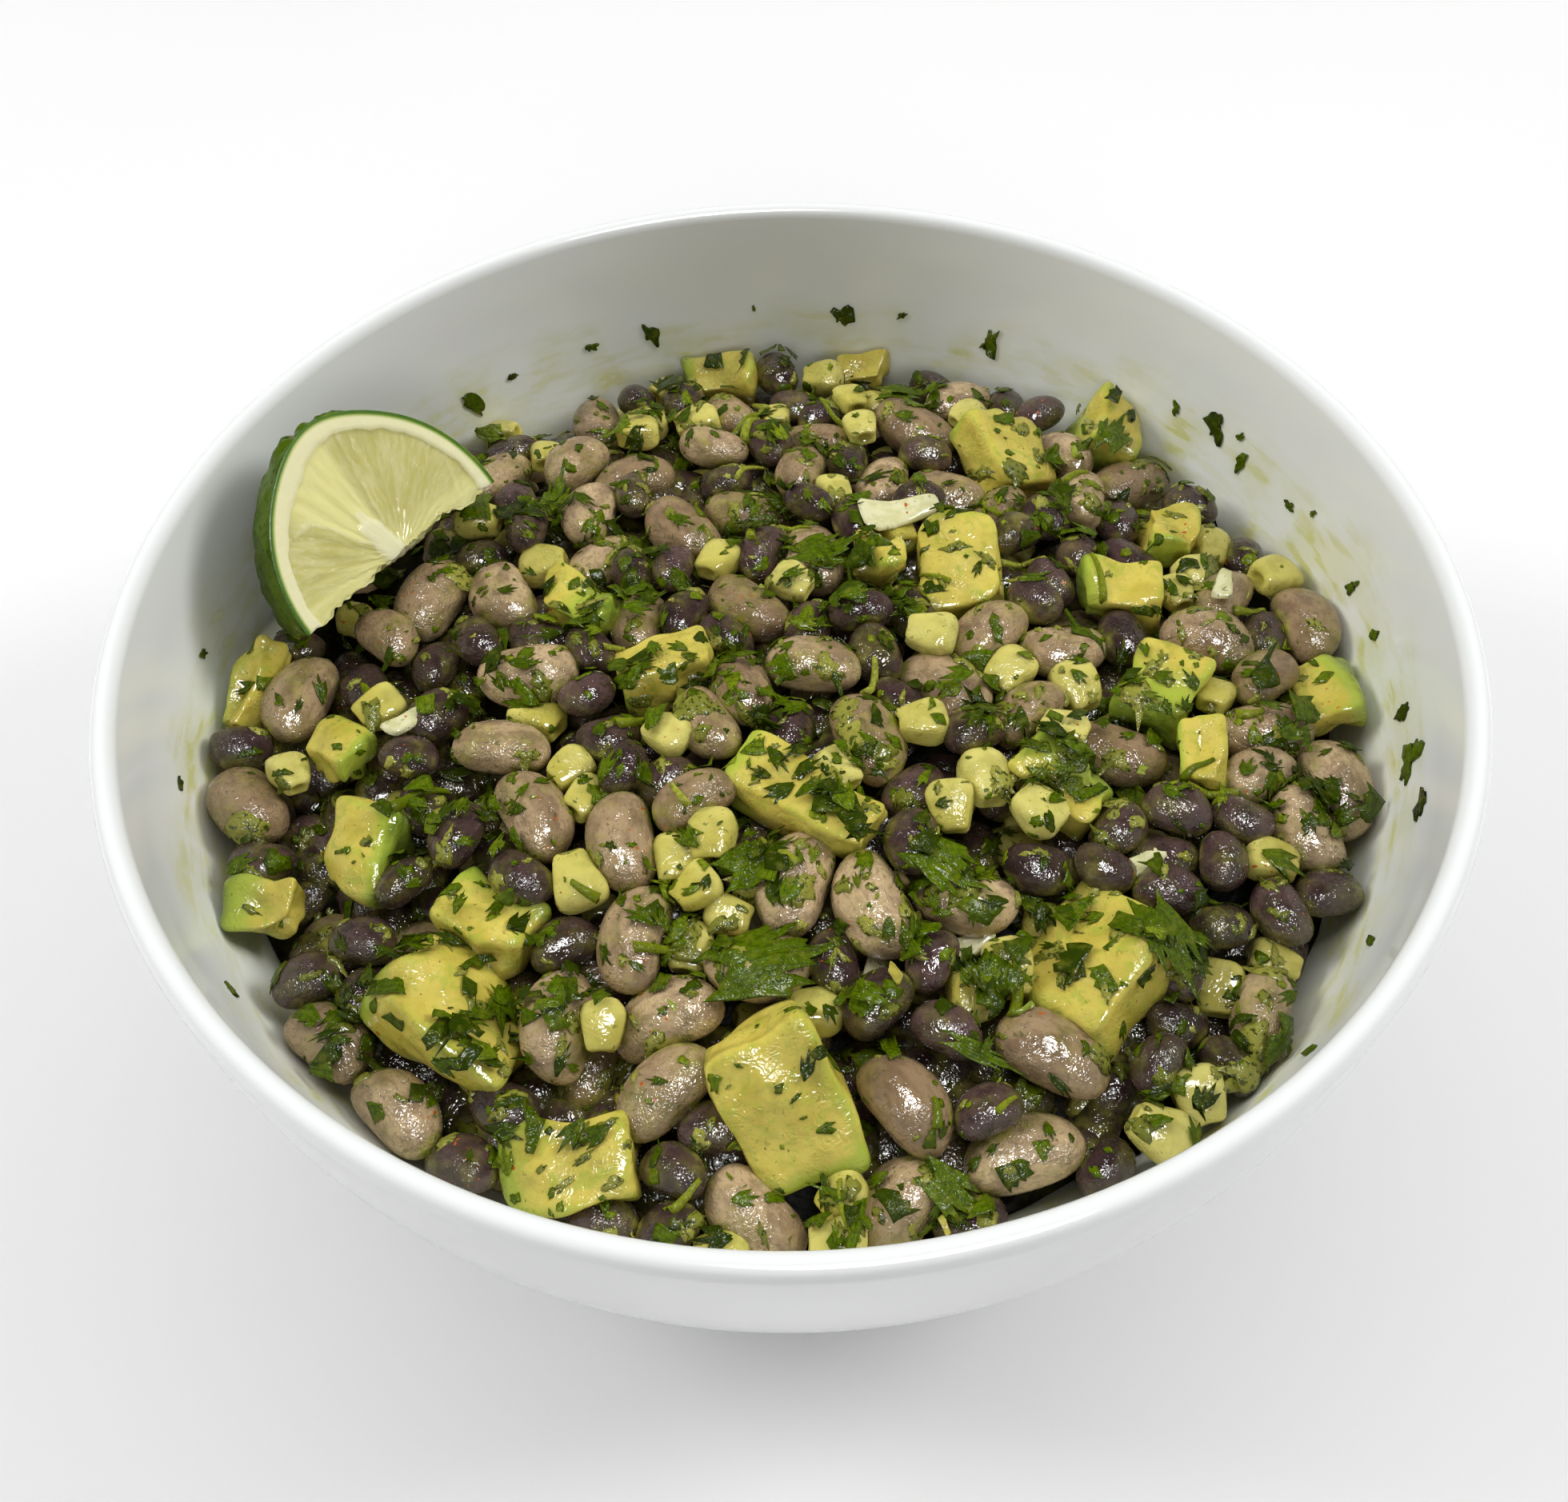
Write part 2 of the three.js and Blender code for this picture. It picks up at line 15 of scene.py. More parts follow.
import bmesh
import bpy
import numpy as np
from mathutils import Matrix, Vector
from mathutils.bvhtree import BVHTree


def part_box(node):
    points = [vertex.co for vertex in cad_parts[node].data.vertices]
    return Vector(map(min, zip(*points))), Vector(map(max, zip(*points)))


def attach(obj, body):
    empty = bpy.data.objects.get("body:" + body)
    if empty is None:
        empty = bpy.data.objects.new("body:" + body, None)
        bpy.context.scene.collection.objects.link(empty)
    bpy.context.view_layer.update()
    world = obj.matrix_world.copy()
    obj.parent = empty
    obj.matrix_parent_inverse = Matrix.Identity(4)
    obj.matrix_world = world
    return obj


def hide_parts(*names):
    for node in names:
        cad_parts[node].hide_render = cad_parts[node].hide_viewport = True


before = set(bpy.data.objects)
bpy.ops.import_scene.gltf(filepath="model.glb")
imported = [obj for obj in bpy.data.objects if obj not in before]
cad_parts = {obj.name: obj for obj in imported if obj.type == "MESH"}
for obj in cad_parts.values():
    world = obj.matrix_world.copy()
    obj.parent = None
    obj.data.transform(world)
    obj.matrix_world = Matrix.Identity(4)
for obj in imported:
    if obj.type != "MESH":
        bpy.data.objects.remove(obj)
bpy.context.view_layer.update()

log = logging.getLogger("salad")

Colour = tuple[float, float, float, float]
Draw = np.random.Generator
Array = np.ndarray
Socket = bpy.types.NodeSocket
Finish = bpy.types.Material

METRES = 0.001
FULL_TURN = 2 * math.pi
NEAR_ZERO = 1e-6
MERGE = 1e-4
SKY = 100.0
ONTO_X = Matrix.Rotation(math.pi / 2, 3, "Y")

# The settling of the pieces, as the part's source does it.
SEED = 20260
SETTLE_STEPS = 160
SETTLE_SHARE = 0.45
SPREAD_TRIES = 14
ELBOW_ROOM = 1.3
SNUG = 0.95
SURFACE_PULL = 0.12
HOME_PULL = 0.2
MOST_PITCH = 30.0
MOST_ROLL = 40.0
MOST_SINK = 4.0
WALL_GAP = 0.5


class Food(Enum):
    """What a loose piece of the salad is."""

    AVOCADO = "avocado"
    PINTO = "pinto"
    BLACK = "black"
    CORN = "corn"


class Peel(Enum):
    """The side of an avocado cube that lay next to the peel, where its flesh turns green."""

    START = (-1.0, 0.0, -0.2)
    END = (1.0, 0.0, -0.2)
    LEFT = (-0.2, 1.0, 0.0)
    RIGHT = (0.2, -1.0, 0.0)
    UNDER = (0.0, 0.2, -1.0)


class Shown(Enum):
    """What a light is for: lighting the colours, or the sparkle on what is wet."""

    IN_COLOUR = "colour"
    IN_GLOSS = "gloss"


@dataclass(frozen=True)
class Kind:
    """A kind of small piece: usual size, its spread, how many show and lie below, and the placed ones."""

    food: Food
    size: tuple[float, float, float]
    spread: float
    count: int
    below: int
    places: tuple[tuple[float, float, float], ...]


@dataclass(frozen=True)
class Cube:
    """One cube of avocado: where it lies, its size, and how far the peel's green reaches into it."""

    at: tuple[float, float]
    turn: float
    pitch: float
    size: tuple[float, float, float]
    peel: Peel
    green: float


@dataclass(frozen=True)
class Leaf:
    """A piece of coriander leaf that stands out: its place, turn, length and width."""

    at: tuple[float, float]
    turn: float
    size: tuple[float, float]


AVOCADO_CUBES = (
    Cube((-2, -78), 94, 24, (31, 21, 14), Peel.START, 0.45),
    Cube((-57, -61), 112, 20, (30, 22, 15), Peel.END, 0.2),
    Cube((52, -57), 12, 8, (28, 23, 14), Peel.UNDER, 0.15),
    Cube((2, -28), -44, 4, (33, 14, 11), Peel.START, 0.35),
    Cube((50, 68), 98, 18, (25, 19, 14), Peel.END, 0.25),
    Cube((36, 29), 96, 16, (25, 19, 13), Peel.UNDER, 0.3),
    Cube((-24, 5), -12, 4, (22, 15, 12), Peel.START, 0.25),
    Cube((-38, -88), -14, 4, (24, 16, 11), Peel.START, 0.6),
    Cube((-104, 6), 82, 10, (23, 10, 11), Peel.LEFT, 0.5),
    Cube((-78, -32), 76, 14, (19, 15, 13), Peel.RIGHT, 0.45),
    Cube((-53, -46), -28, 0, (19, 15, 13), Peel.LEFT, 0.55),
    Cube((-86, -12), 20, 5, (14, 12, 11), Peel.END, 0.5),
    Cube((-95, -42), 8, 4, (16, 12, 10), Peel.START, 1.0),
    Cube((-14, 103), -12, 8, (19, 14, 12), Peel.START, 0.5),
    Cube((20, 104), 10, 8, (14, 11, 10), Peel.UNDER, 0.1),
    Cube((76, 80), -8, 8, (20, 16, 12), Peel.START, 1.2),
    Cube((20, 33), 50, 5, (12, 11, 10), Peel.UNDER, 0.2),
    Cube((81, 41), -52, 5, (16, 13, 11), Peel.END, 0.4),
    Cube((68, 24), 6, 6, (19, 14, 11), Peel.START, 0.65),
    Cube((-41, 23), -62, 5, (20, 12, 11), Peel.END, 1.0),
    Cube((104, -2), -62, 8, (17, 14, 12), Peel.LEFT, 0.7),
    Cube((73, -2), 20, 6, (19, 16, 12), Peel.START, 1.1),
    Cube((77, -17), 94, 6, (17, 10, 10), Peel.LEFT, 0.4),
    Cube((48, -25), 100, 8, (20, 13, 11), Peel.RIGHT, 0.9),
)

# The places of the small pieces are x, y and turn.
PINTO = Kind(Food.PINTO, (18.4, 11.8, 9.8), 0.13, 66, 60, (
    (-40, 50, 100), (-46, 68, 8), (-15, 73, 150), (64, 52, 60), (-80, 17, -35), (-97, 4, 58),
    (-103, -19, 170), (-54, -13, -10), (-46, -27, -66), (-31, -34, 78), (-28, -52, 95), (-15, -10, 98),
    (-18, -27, -8), (5, 4, 0), (16, -13, -62), (13, -48, 96), (-42, -66, 76), (-23, -77, 86),
    (-68, -79, -55), (-80, -66, 10), (43, -72, -28), (79, -66, 88), (103, -22, -28), (95, -32, 68),
    (104, 17, -74), (94, 0, -4), (84, 11, -40), (17, -81, -60),
))
BLACK = Kind(Food.BLACK, (12.6, 9.2, 8), 0.1, 98, 110, (
    (70, -30, 20), (76, -39, -50), (66, -45, 12), (87, -48, 80), (96, -44, 60), (-71, -14, 8),
    (-67, -5, 60), (-61, -31, 85), (-49, -42, 70), (-85, -56, 40), (-76, -51, -30), (15, 16, 70),
    (5, 49, -20), (-54, 44, 80), (-30, -20, -60), (25, -69, -5), (31, -83, 85),
))
CORN = Kind(Food.CORN, (10.6, 8.6, 6.4), 0.12, 56, 60, (
    (-33, 78, 10), (-79, -2, 30), (-94, -16, 80), (-37, -41, 20), (-23, -13, -10), (-15, -35, 60),
    (-18, -44, -20), (-32, -68, 100), (24, -12, 30), (28, 10, -20), (45, -29, 10), (35, -24, 80),
    (18, 76, 90), (16, 88, 110), (10, 100, 15), (59, -85, -20), (67, -80, 60), (5, -101, 0),
))
KINDS = (PINTO, BLACK, CORN)

LEAVES = (
    Leaf((-3, -58), 15, (25, 17)),
    Leaf((-6, -40), 30, (15, 11)),
    Leaf((28, -43), -30, (15, 12)),
    Leaf((64, -58), -70, (20, 12)),
    Leaf((9, 33), 10, (17, 12)),
    Leaf((25, -95), -35, (13, 9)),
    Leaf((31, -75), -20, (15, 4)),
    Leaf((-49, 57), 80, (17, 7)),
    Leaf((30, 90), 0, (14, 10)),
    Leaf((74, 70), 60, (13, 9)),
)

# Where chopped coriander lies thickest, as x and y.
HERB_CLUMPS = (
    (-71, 87), (-50, 50), (-20, 96), (2, 108), (33, 91), (51, 104), (79, 84), (89, 62), (5, 67),
    (-4, 45), (-29, 83), (-34, 34), (9, 32), (6, 20), (23, 22), (35, 42), (65, 44), (-36, 16),
    (-14, 2), (-26, -1), (-58, -1), (-51, -30), (-4, -8), (10, -27), (-6, -40), (28, -42), (35, -7),
    (46, -18), (52, -24), (66, -3), (93, -11), (-54, -69), (-41, -60), (-64, -53), (46, -50),
    (63, -56), (22, -53), (-20, -57), (11, -68), (25, -95), (12, -100), (-68, -27), (100, -36),
    (33, -61), (-75, -67), (96, -25), (66, -84), (80, -72),
)

# Flakes of leaf that stuck to the bowl's inner wall: direction, height and length.
WALL_FLAKES = (
    (82.2, 54.9, 7.0), (105.5, 53.2, 5.0), (113.0, 54.0, 2.6), (128.7, 51.5, 6.0), (123.0, 53.6, 2.2),
    (34.5, 58.9, 6.5), (30.2, 56.0, 5.0), (-12.1, 57.5, 8.0), (-18.1, 61.3, 5.0), (9.7, 57.3, 3.0),
    (64.2, 54.0, 6.0), (3.6, 56.5, 3.0), (40.1, 57.5, 2.4), (31.3, 61.0, 2.0), (92.8, 56.9, 1.6),
    (22.2, 56.5, 2.6), (19.0, 59.8, 1.8), (-6.3, 57.5, 4.0), (175.2, 57.0, 2.2), (190.0, 55.0, 2.6),
    (212.0, 50.5, 2.4), (228.0, 48.0, 3.0), (318.0, 49.0, 3.0), (330.0, 51.0, 2.6), (75.0, 56.5, 2.0),
)

# White shards of onion: x, y, turn and length.
SHARDS = (
    (24, 44, 12, 15), (-7, -47, 60, 13), (30, -53, 20, 9), (88, 22, 70, 8), (-72, -8, 40, 8),
    (62, -40, 30, 9), (14, -57, 80, 10),
)


def unit(vectors: Array) -> Array:
    """Vectors, one a row or a single one, brought to length 1."""
    return vectors / np.maximum(np.linalg.norm(vectors, axis=-1, keepdims=True), NEAR_ZERO)


def ramp(values: Array, low: float, high: float) -> Array:
    """Numbers from 0 to 1 that rise smoothly between two limits."""
    share = np.clip((values - low) / (high - low), 0, 1)
    return share * share * (3 - 2 * share)


def zigzag(values: Array) -> Array:
    """A zigzag that is 1 at whole numbers and 0 halfway between them."""
    return np.abs(values % 1 - 0.5) * 2


def dome(points: Array, middle: Array, wide: float) -> Array:
    """How strongly a soft round dome at a point is felt at others, 1 at its middle."""
    return np.exp(-((points - middle) ** 2).sum(1) / wide**2)


def rotated(flat: Array, angle: float) -> Array:
    """Places in a plane, turned about its origin."""
    return flat @ np.array([[math.cos(angle), math.sin(angle)], [-math.sin(angle), math.cos(angle)]])


def tumbled(points: Array, turn: float, tip: float) -> Array:
    """Points tipped about X and then turned about Z."""
    return points @ np.array(Matrix.Rotation(turn, 3, "Z") @ Matrix.Rotation(tip, 3, "X")).T


def strewn(draw: Draw | SeededDraw, reach: float) -> Array:
    """A place in the plan, drawn evenly over a disc."""
    ring, azimuth = math.sqrt(draw.random()) * reach, draw.random() * FULL_TURN
    return ring * np.array([math.cos(azimuth), math.sin(azimuth)])


def along_line(points: Array, start: Array, end: Array) -> tuple[Array, Array]:
    """Where points lie beside a line.

    Args:
        points: The points, one a row.
        start: The line's start.
        end: Its end.

    Returns:
        How far along the line each is, from 0 to 1, and how far from it.
    """
    line = end - start
    share = np.clip((points - start) @ line / max(line @ line, NEAR_ZERO), 0, 1)
    return share, np.linalg.norm(points - start - share[:, None] * line, axis=1)


class SeededDraw:
    """A repeatable stream of numbers from 0 to 1, the same as the part's source draws."""

    FACTOR = 1664525
    STEP = 1013904223
    RANGE = 1 << 32

    def __init__(self, seed: int) -> None:
        """Starts the stream."""
        self.state = seed

    def random(self) -> float:
        """The next number."""
        self.state = (self.state * self.FACTOR + self.STEP) % self.RANGE
        return self.state / self.RANGE


class Unevenness:
    """A smooth, seeded field over space, mostly from -1 to 1."""

    def __init__(self, seed: int, length: float, waves: int = 9) -> None:
        """Sets up the field.

        Args:
            seed: What its waves are drawn from.
            length: About how long they are.
            waves: Their number.
        """
        draw = np.random.default_rng(seed)
        headings = unit(draw.normal(size=(waves, 3)))
        self.waves = headings * (FULL_TURN / length) * draw.uniform(0.6, 1.6, waves)[:, None]
        self.phases = draw.uniform(0, FULL_TURN, waves)

    @classmethod
    def drawn(cls, draw: Draw, length: float, waves: int) -> Unevenness:
        """A field whose seed is drawn."""
        return cls(int(draw.integers(1 << 30)), length, waves)

    def at(self, points: Array) -> Array:
        """The field at points, one a row."""
        return np.sin(points @ self.waves.T + self.phases).sum(1) / math.sqrt(len(self.phases))


@dataclass(frozen=True)
class BowlShape:
    """The bowl's driving sizes. Its walls are superellipses hung from the rim's widest circle."""

    rim_radius: float
    rim_height: float
    rim_crown: float = 2.5
    wall: float = 4.4
    outer_depth: float = 78.0
    inner_depth: float = 73.0
    exponent: float = 3.1
    foot_outer: float = 62.0
    foot_inner: float = 56.0

    @classmethod
    def from_frame(cls) -> BowlShape:
        """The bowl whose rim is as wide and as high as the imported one's."""
        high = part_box("bowl")[1] / METRES
        return cls(rim_radius=high.x, rim_height=high.z - cls.rim_crown)

    @property
    def inner_radius(self) -> float:
        """Radius of the inner wall at the rim."""
        return self.rim_radius - self.wall

    def inside(self, height: Array | float) -> Array | float:
        """Radius of the inner wall at a height."""
        drop = np.clip((self.rim_height - height) / self.inner_depth, 0, 1)
        return self.inner_radius * (1 - drop**self.exponent) ** (1 / self.exponent)

    def underside(self, radius: float) -> float:
        """Height of the outer wall at a radius."""
        share = (1 - (radius / self.rim_radius) ** self.exponent) ** (1 / self.exponent)
        return self.rim_height - self.outer_depth * share

    def kept_in(
        self, points: Array, margin: Array | float = WALL_GAP, drop: float = 0.0
    ) -> Array:
        """Draws points back from the wall.

        Args:
            points: The points, one a row.
            margin: How far from the inner wall they stay.
            drop: How far below them the wall is measured.

        Returns:
            The points, with those too near the wall drawn inwards.
        """
        ring = np.hypot(points[:, 0], points[:, 1])
        limit = self.inside(points[:, 2] - drop) - margin
        share = np.where(ring > limit, limit / np.maximum(ring, NEAR_ZERO), 1)
        return points * np.column_stack([share, share, np.ones(len(points))])

    def wall_points(self, radius: float, depth: float, steps: int) -> list[tuple[float, float]]:
        """Points of a superellipse wall.

        Args:
            radius: Its radius at the rim.
            depth: How deep it reaches.
            steps: Number of spans between its points.

        Returns:
            Radius and height of each, from the lowest to the rim.
        """
        angles = np.linspace(0, math.pi / 2, steps + 1)
        across = radius * np.sin(angles) ** (2 / self.exponent)
        down = depth * np.maximum(np.cos(angles), 0) ** (2 / self.exponent)
        return list(zip(across, self.rim_height - down))


@dataclass(frozen=True)
class SaladSurface:
    """The salad's upper surface: high in the middle, and lower at the wall, most of all in front."""

    middle: float = 61.5
    at_wall: float = 47.5
    back_rise: float = 5.5
    sides_rise: float = 5.0
    reach: float = 113.0

    def height(self, x: Array | float, y: Array | float) -> Array | float:
        """Height of the surface.

        Args:
            x: Places to the right.
            y: Places to the back.

        Returns:
            Its height over them.
        """
        azimuth = np.arctan2(y, x)
        edge = self.at_wall + self.back_rise * np.sin(azimuth) + self.sides_rise * np.cos(2 * azimuth)
        share = np.minimum(1, (x * x + y * y) / self.reach**2)
        return self.middle + (edge - self.middle) * share


@dataclass(frozen=True)
class LimeShape:
    """The stem end of a lime, halved along its core and cut off square near its equator."""

    radius: float = 26.5
    length: float = 29.5
    nipple: float = 2.0
    centre: tuple[float, float, float] = (-78.5, 31.5, 60.0)
    face_offset: float = 4.0
    azimuth: float = -37.0
    lean: float = 36.0
    ball_share: float = 0.4

    def placed(self, local: Array) -> Array:
        """Puts points where the lime lies.

        Args:
            local: Points as out of the cut face, across it and towards the stem.

        Returns:
            The points in the bowl.
        """
        azimuth, lean = math.radians(self.azimuth), math.radians(self.lean)
        level = math.cos(lean)
        face = np.array([level * math.cos(azimuth), level * math.sin(azimuth), math.sin(lean)])
        across = np.array([-math.sin(azimuth), math.cos(azimuth), 0.0])
        stem = np.cross(face, across)
        return np.array(self.centre) + local[:, :1] * face + local[:, 1:2] * across + local[:, 2:] * stem

    def balls(self) -> tuple[Array, float]:
        """Middles and radius of the balls that stand for the lime while the pieces settle.

        Returns:
            The middles, and the radius.
        """
        radius = self.radius * self.ball_share
        middles = [
            (self.face_offset - radius, self.radius * side * (1 - rise * 0.4), self.length * rise)
            for side, rise in product((-0.6, -0.2, 0.2, 0.6), (0.25, 0.6))
        ]
        return self.placed(np.array(middles)), radius


@dataclass
class Piece:
    """One loose piece: two balls on its long axis stand for it while it settles."""

    food: Food
    size: Array
    roll: float
    radius: float
    reach: float
    held: bool
    home: tuple[float, float]
    lift: tuple[float, float]
    ends: Array

    def placed(self, local: Array) -> Array:
        """Puts points where the piece has settled.

        Args:
            local: Points as along it, to its side and out of its top.

        Returns:
            The points in the bowl.
        """
        along = unit(self.ends[1] - self.ends[0])
        level = unit(np.array([-along[1], along[0], 0.0]))
        tilt = math.radians(self.roll)
        side = level * math.cos(tilt) + np.cross(along, level) * math.sin(tilt)
        top = np.cross(along, side)
        return self.ends.mean(0) + local[:, :1] * along + local[:, 1:2] * side + local[:, 2:] * top

    def top_at(self, spots: Array) -> Array:
        """How high the piece reaches, taken as a rounded rod.

        Args:
            spots: Places in the plan.

        Returns:
            Its height over each, and minus infinity beside it.
        """
        start, end = self.ends
        share, far = along_line(spots, start[:2], end[:2])
        rise = np.sqrt(np.maximum(self.radius**2 - far**2, 0))
        return np.where(far < self.radius, start[2] + share * (end[2] - start[2]) + rise, -math.inf)


@dataclass
class Heap:
    """Every loose piece of the salad, laid and settled as the part's source does it."""

    bowl: BowlShape
    surface: SaladSurface
    lime: LimeShape
    below_drop: float = 10.5
    below_spread: float = 4.0
    contact_reach: float = 2.2
    gap_step: float = 3.5
    gap_depth: float = 13.0
    gap_filling: float = 10.0
    pieces: list[Piece] = field(default_factory=list)
    below: list[Piece] = field(default_factory=list)

    def settle(self) -> None:
        """Lays and settles the showing pieces, packs a layer under them, and fills the gaps left."""
        self.pieces = self._showing()
        self._pushed_apart(self.pieces, [])
        self.below = self._under_layer()
        self._pushed_apart(self.below, self.pieces)
        self.below += self._gap_fillers()
        log.info("heap: %d showing pieces over %d more", len(self.pieces), len(self.below))

    def nearness(self, piece: Piece, points: Array) -> Array:
        """How near a piece is to its neighbours.

        Args:
            piece: The piece.
            points: Points of its surface.

        Returns:
            1 for each point where they touch, 0 where they are well apart.
        """
        others = [other for other in self.pieces + self.below if other is not piece]
        middles = np.array([other.ends.mean(0) for other in others])
        extents = np.array([other.reach + other.radius for other in others])
        apart = np.linalg.norm(middles - piece.ends.mean(0), axis=1) - extents - piece.reach - piece.radius
        nearest = np.full(len(points), math.inf)
        for number in np.flatnonzero(apart < self.contact_reach):
            far = along_line(points, *others[number].ends)[1] - others[number].radius
            nearest = np.minimum(nearest, far)
        return 1 - ramp(nearest, 0.0, self.contact_reach)

    def _lay(
        self, food: Food, size: Array, at: tuple[float, float], pose: tuple[float, float, float, float],
        held: bool = False,
    ) -> Piece:
        """Lays a piece in the surface.

        Args:
            food: What it is.
            size: Length, width and thickness.
            at: Its place in the plan.
            pose: Turn, pitch and roll in degrees, and how far it lies below the surface.
            held: Whether it is drawn back to its place while it settles.

        Returns:
            The piece, not yet settled.
        """
        turn, pitch, roll, sink = pose
        heading, rise = math.radians(turn), math.radians(pitch)
        level = math.cos(rise)
        along = np.array([level * math.cos(heading), level * math.sin(heading), math.sin(rise)])
        radius = (size[1] + size[2]) / 4
        reach = max(0.5, size[0] / 2 - radius)
        swing = reach * math.sin(rise)
        climb = abs(swing)
        middle = np.array([*at, self.surface.height(*at) - radius - sink + climb])
        lift = (-swing + climb - sink, swing + climb - sink)
        ends = np.array([middle - along * reach, middle + along * reach])
        return Piece(food, size, roll, radius, reach, held, at, lift, ends)

    @staticmethod
    def _sized(kind: Kind, draw: SeededDraw) -> Array:
        """A kind's size with its natural variation."""
        return np.array(kind.size) * (1 + (draw.random() * 2 - 1) * kind.spread)

    @staticmethod
    def _rolled(draw: SeededDraw) -> float:
        """A small roll about a piece's long axis."""
        return (draw.random() - 0.5) * MOST_ROLL

    def _fallen(self, draw: SeededDraw) -> tuple[float, float, float]:
        """Turn, pitch and roll of a piece that fell as it liked."""
        return draw.random() * 180, (draw.random() - 0.5) * MOST_PITCH, self._rolled(draw)

    def _showing(self) -> list[Piece]:
        """The showing pieces before they settle: the placed ones, then the spread ones, largest first.

        Returns:
            The pieces, the avocado cubes first.
        """
        draw = SeededDraw(SEED)
        pieces = []
        for cube in AVOCADO_CUBES:
            pose = (cube.turn, cube.pitch, self._rolled(draw), 0.0)
            pieces.append(self._lay(Food.AVOCADO, np.array(cube.size, float), cube.at, pose, True))
        for kind in KINDS:
            for x, y, turn in kind.places:
                size = self._sized(kind, draw)
                pieces.append(self._lay(kind.food, size, (x, y), (turn, 0.0, self._rolled(draw), 0.0), True))
        balls, ball_radius = self.lime.balls()
        for kind in KINDS:
            for _ in range(len(kind.places), kind.count):
                size = self._sized(kind, draw)
                taken = np.array([piece.home for piece in pieces] + [tuple(ball[:2]) for ball in balls])
                elbows = [piece.radius * ELBOW_ROOM for piece in pieces] + [ball_radius] * len(balls)
                spots = [strewn(draw, self.bowl.inner_radius - size[1]) for _ in range(SPREAD_TRIES)]
                rooms = [(np.hypot(*(taken - spot).T) - elbows).min() for spot in spots]
                pose = (*self._fallen(draw), draw.random() * MOST_SINK)
                pieces.append(self._lay(kind.food, size, tuple(spots[int(np.argmax(rooms))]), pose))
        return pieces

    def _under_layer(self) -> list[Piece]:
        """Pieces spread under the showing ones, where the gaps between those give onto them.

        Returns:
            The pieces, not yet settled.
        """
        draw = SeededDraw(SEED + 1)
        pieces = []
        for kind in KINDS:
            for _ in range(kind.below):
                size = self._sized(kind, draw)
                spot = strewn(draw, self.bowl.inner_radius - size[1])
                sink = self.below_drop + draw.random() * self.below_spread
                pieces.append(self._lay(kind.food, size, tuple(spot), (*self._fallen(draw), sink)))
        return pieces

    def _gap_fillers(self) -> list[Piece]:
        """Black beans in the gaps that would still give onto the core.

        Returns:
            The beans, in their final places.
        """
        draw = SeededDraw(SEED + 2)
        radius = self.bowl.inner_radius - BLACK.size[1]
        row = np.arange(-radius, radius, self.gap_step)
        spots = np.array([spot for spot in product(row, row) if math.hypot(*spot) < radius])
        deepest = self.surface.height(*spots.T) - self.gap_depth
        tops = np.max([piece.top_at(spots) for piece in self.pieces + self.below], axis=0)
        balls, ball_radius = self.lime.balls()
        fillers = []
        for number, spot in enumerate(spots):
            by_lime = np.hypot(*(balls[:, :2] - spot).T).min() < ball_radius
            if by_lime or tops[number] > deepest[number]:
                continue
            pose = (*self._fallen(draw), self.gap_filling)
            filler = self._lay(BLACK.food, self._sized(BLACK, draw), tuple(spot), pose)
            filler.ends = self.bowl.kept_in(filler.ends, filler.radius, filler.radius)
            fillers.append(filler)
            tops = np.maximum(tops, filler.top_at(spots))
        return fillers

    def _pushed_apart(self, moving: list[Piece], fixed: list[Piece]) -> None:
        """Pushes overlapping pieces apart while each is drawn to its level and kept off the wall.

        Args:
            moving: The pieces that settle. Their ends are changed.
            fixed: Pieces that only push.
        """
        points = np.array([piece.ends for piece in moving]).reshape(-1, 3)
        owners = np.repeat(np.arange(len(moving)), 2)
        radii = np.repeat([piece.radius for piece in moving], 2)
        reaches = np.repeat([piece.reach for piece in moving], 2)
        held = np.repeat([piece.held for piece in moving], 2)
        homes = np.repeat(np.array([piece.home for piece in moving]), 2, axis=0)
        lifts = np.array([piece.lift for piece in moving]).reshape(-1)
        balls, ball_radius = self.lime.balls()
        walls = np.array([piece.ends for piece in fixed]).reshape(-1, 3)
        wall_radii = np.repeat([piece.radius for piece in fixed], 2)
        stops = np.concatenate([walls, balls])
        stop_reach = radii[:, None] + np.concatenate([wall_radii, np.full(len(balls), ball_radius)])
        stop_reach[:, : len(walls)] *= SNUG
        pair_reach = (radii[:, None] + radii) * SNUG
        pair_reach[owners[:, None] == owners] = 0
        for _ in range(SETTLE_STEPS):
            push, hits = self._pushes(points, points, pair_reach, 0.5)
            stop_push, stop_hits = self._pushes(points, stops, stop_reach, 1.0)
            hits += stop_hits
            share = SETTLE_SHARE * np.where(hits > 2, 2 / np.maximum(hits, 1), 1)
            points = points + (push + stop_push) * share[:, None]
            wanted = self.surface.height(points[:, 0], points[:, 1]) - radii + lifts
            points[:, 2] += (wanted - points[:, 2]) * SURFACE_PULL
            points = self.bowl.kept_in(points, radii + WALL_GAP)
            away = points[:, :2] - homes
            far = np.hypot(*away.T)
            home_pull = (far - reaches) * HOME_PULL / np.maximum(far, NEAR_ZERO)
            points[:, :2] -= away * np.where(held & (far > reaches), home_pull, 0)[:, None]
            rods = points.reshape(-1, 2, 3)
            gap = rods[:, 1] - rods[:, 0]
            lengths = np.linalg.norm(gap, axis=1)
            lengths[lengths == 0] = 1
            gap *= ((lengths - 2 * reaches[::2]) / lengths / 2)[:, None]
            rods[:, 0] += gap
            rods[:, 1] -= gap
            points = rods.reshape(-1, 3)
        for piece, ends in zip(moving, points.reshape(-1, 2, 3)):
            piece.ends = ends

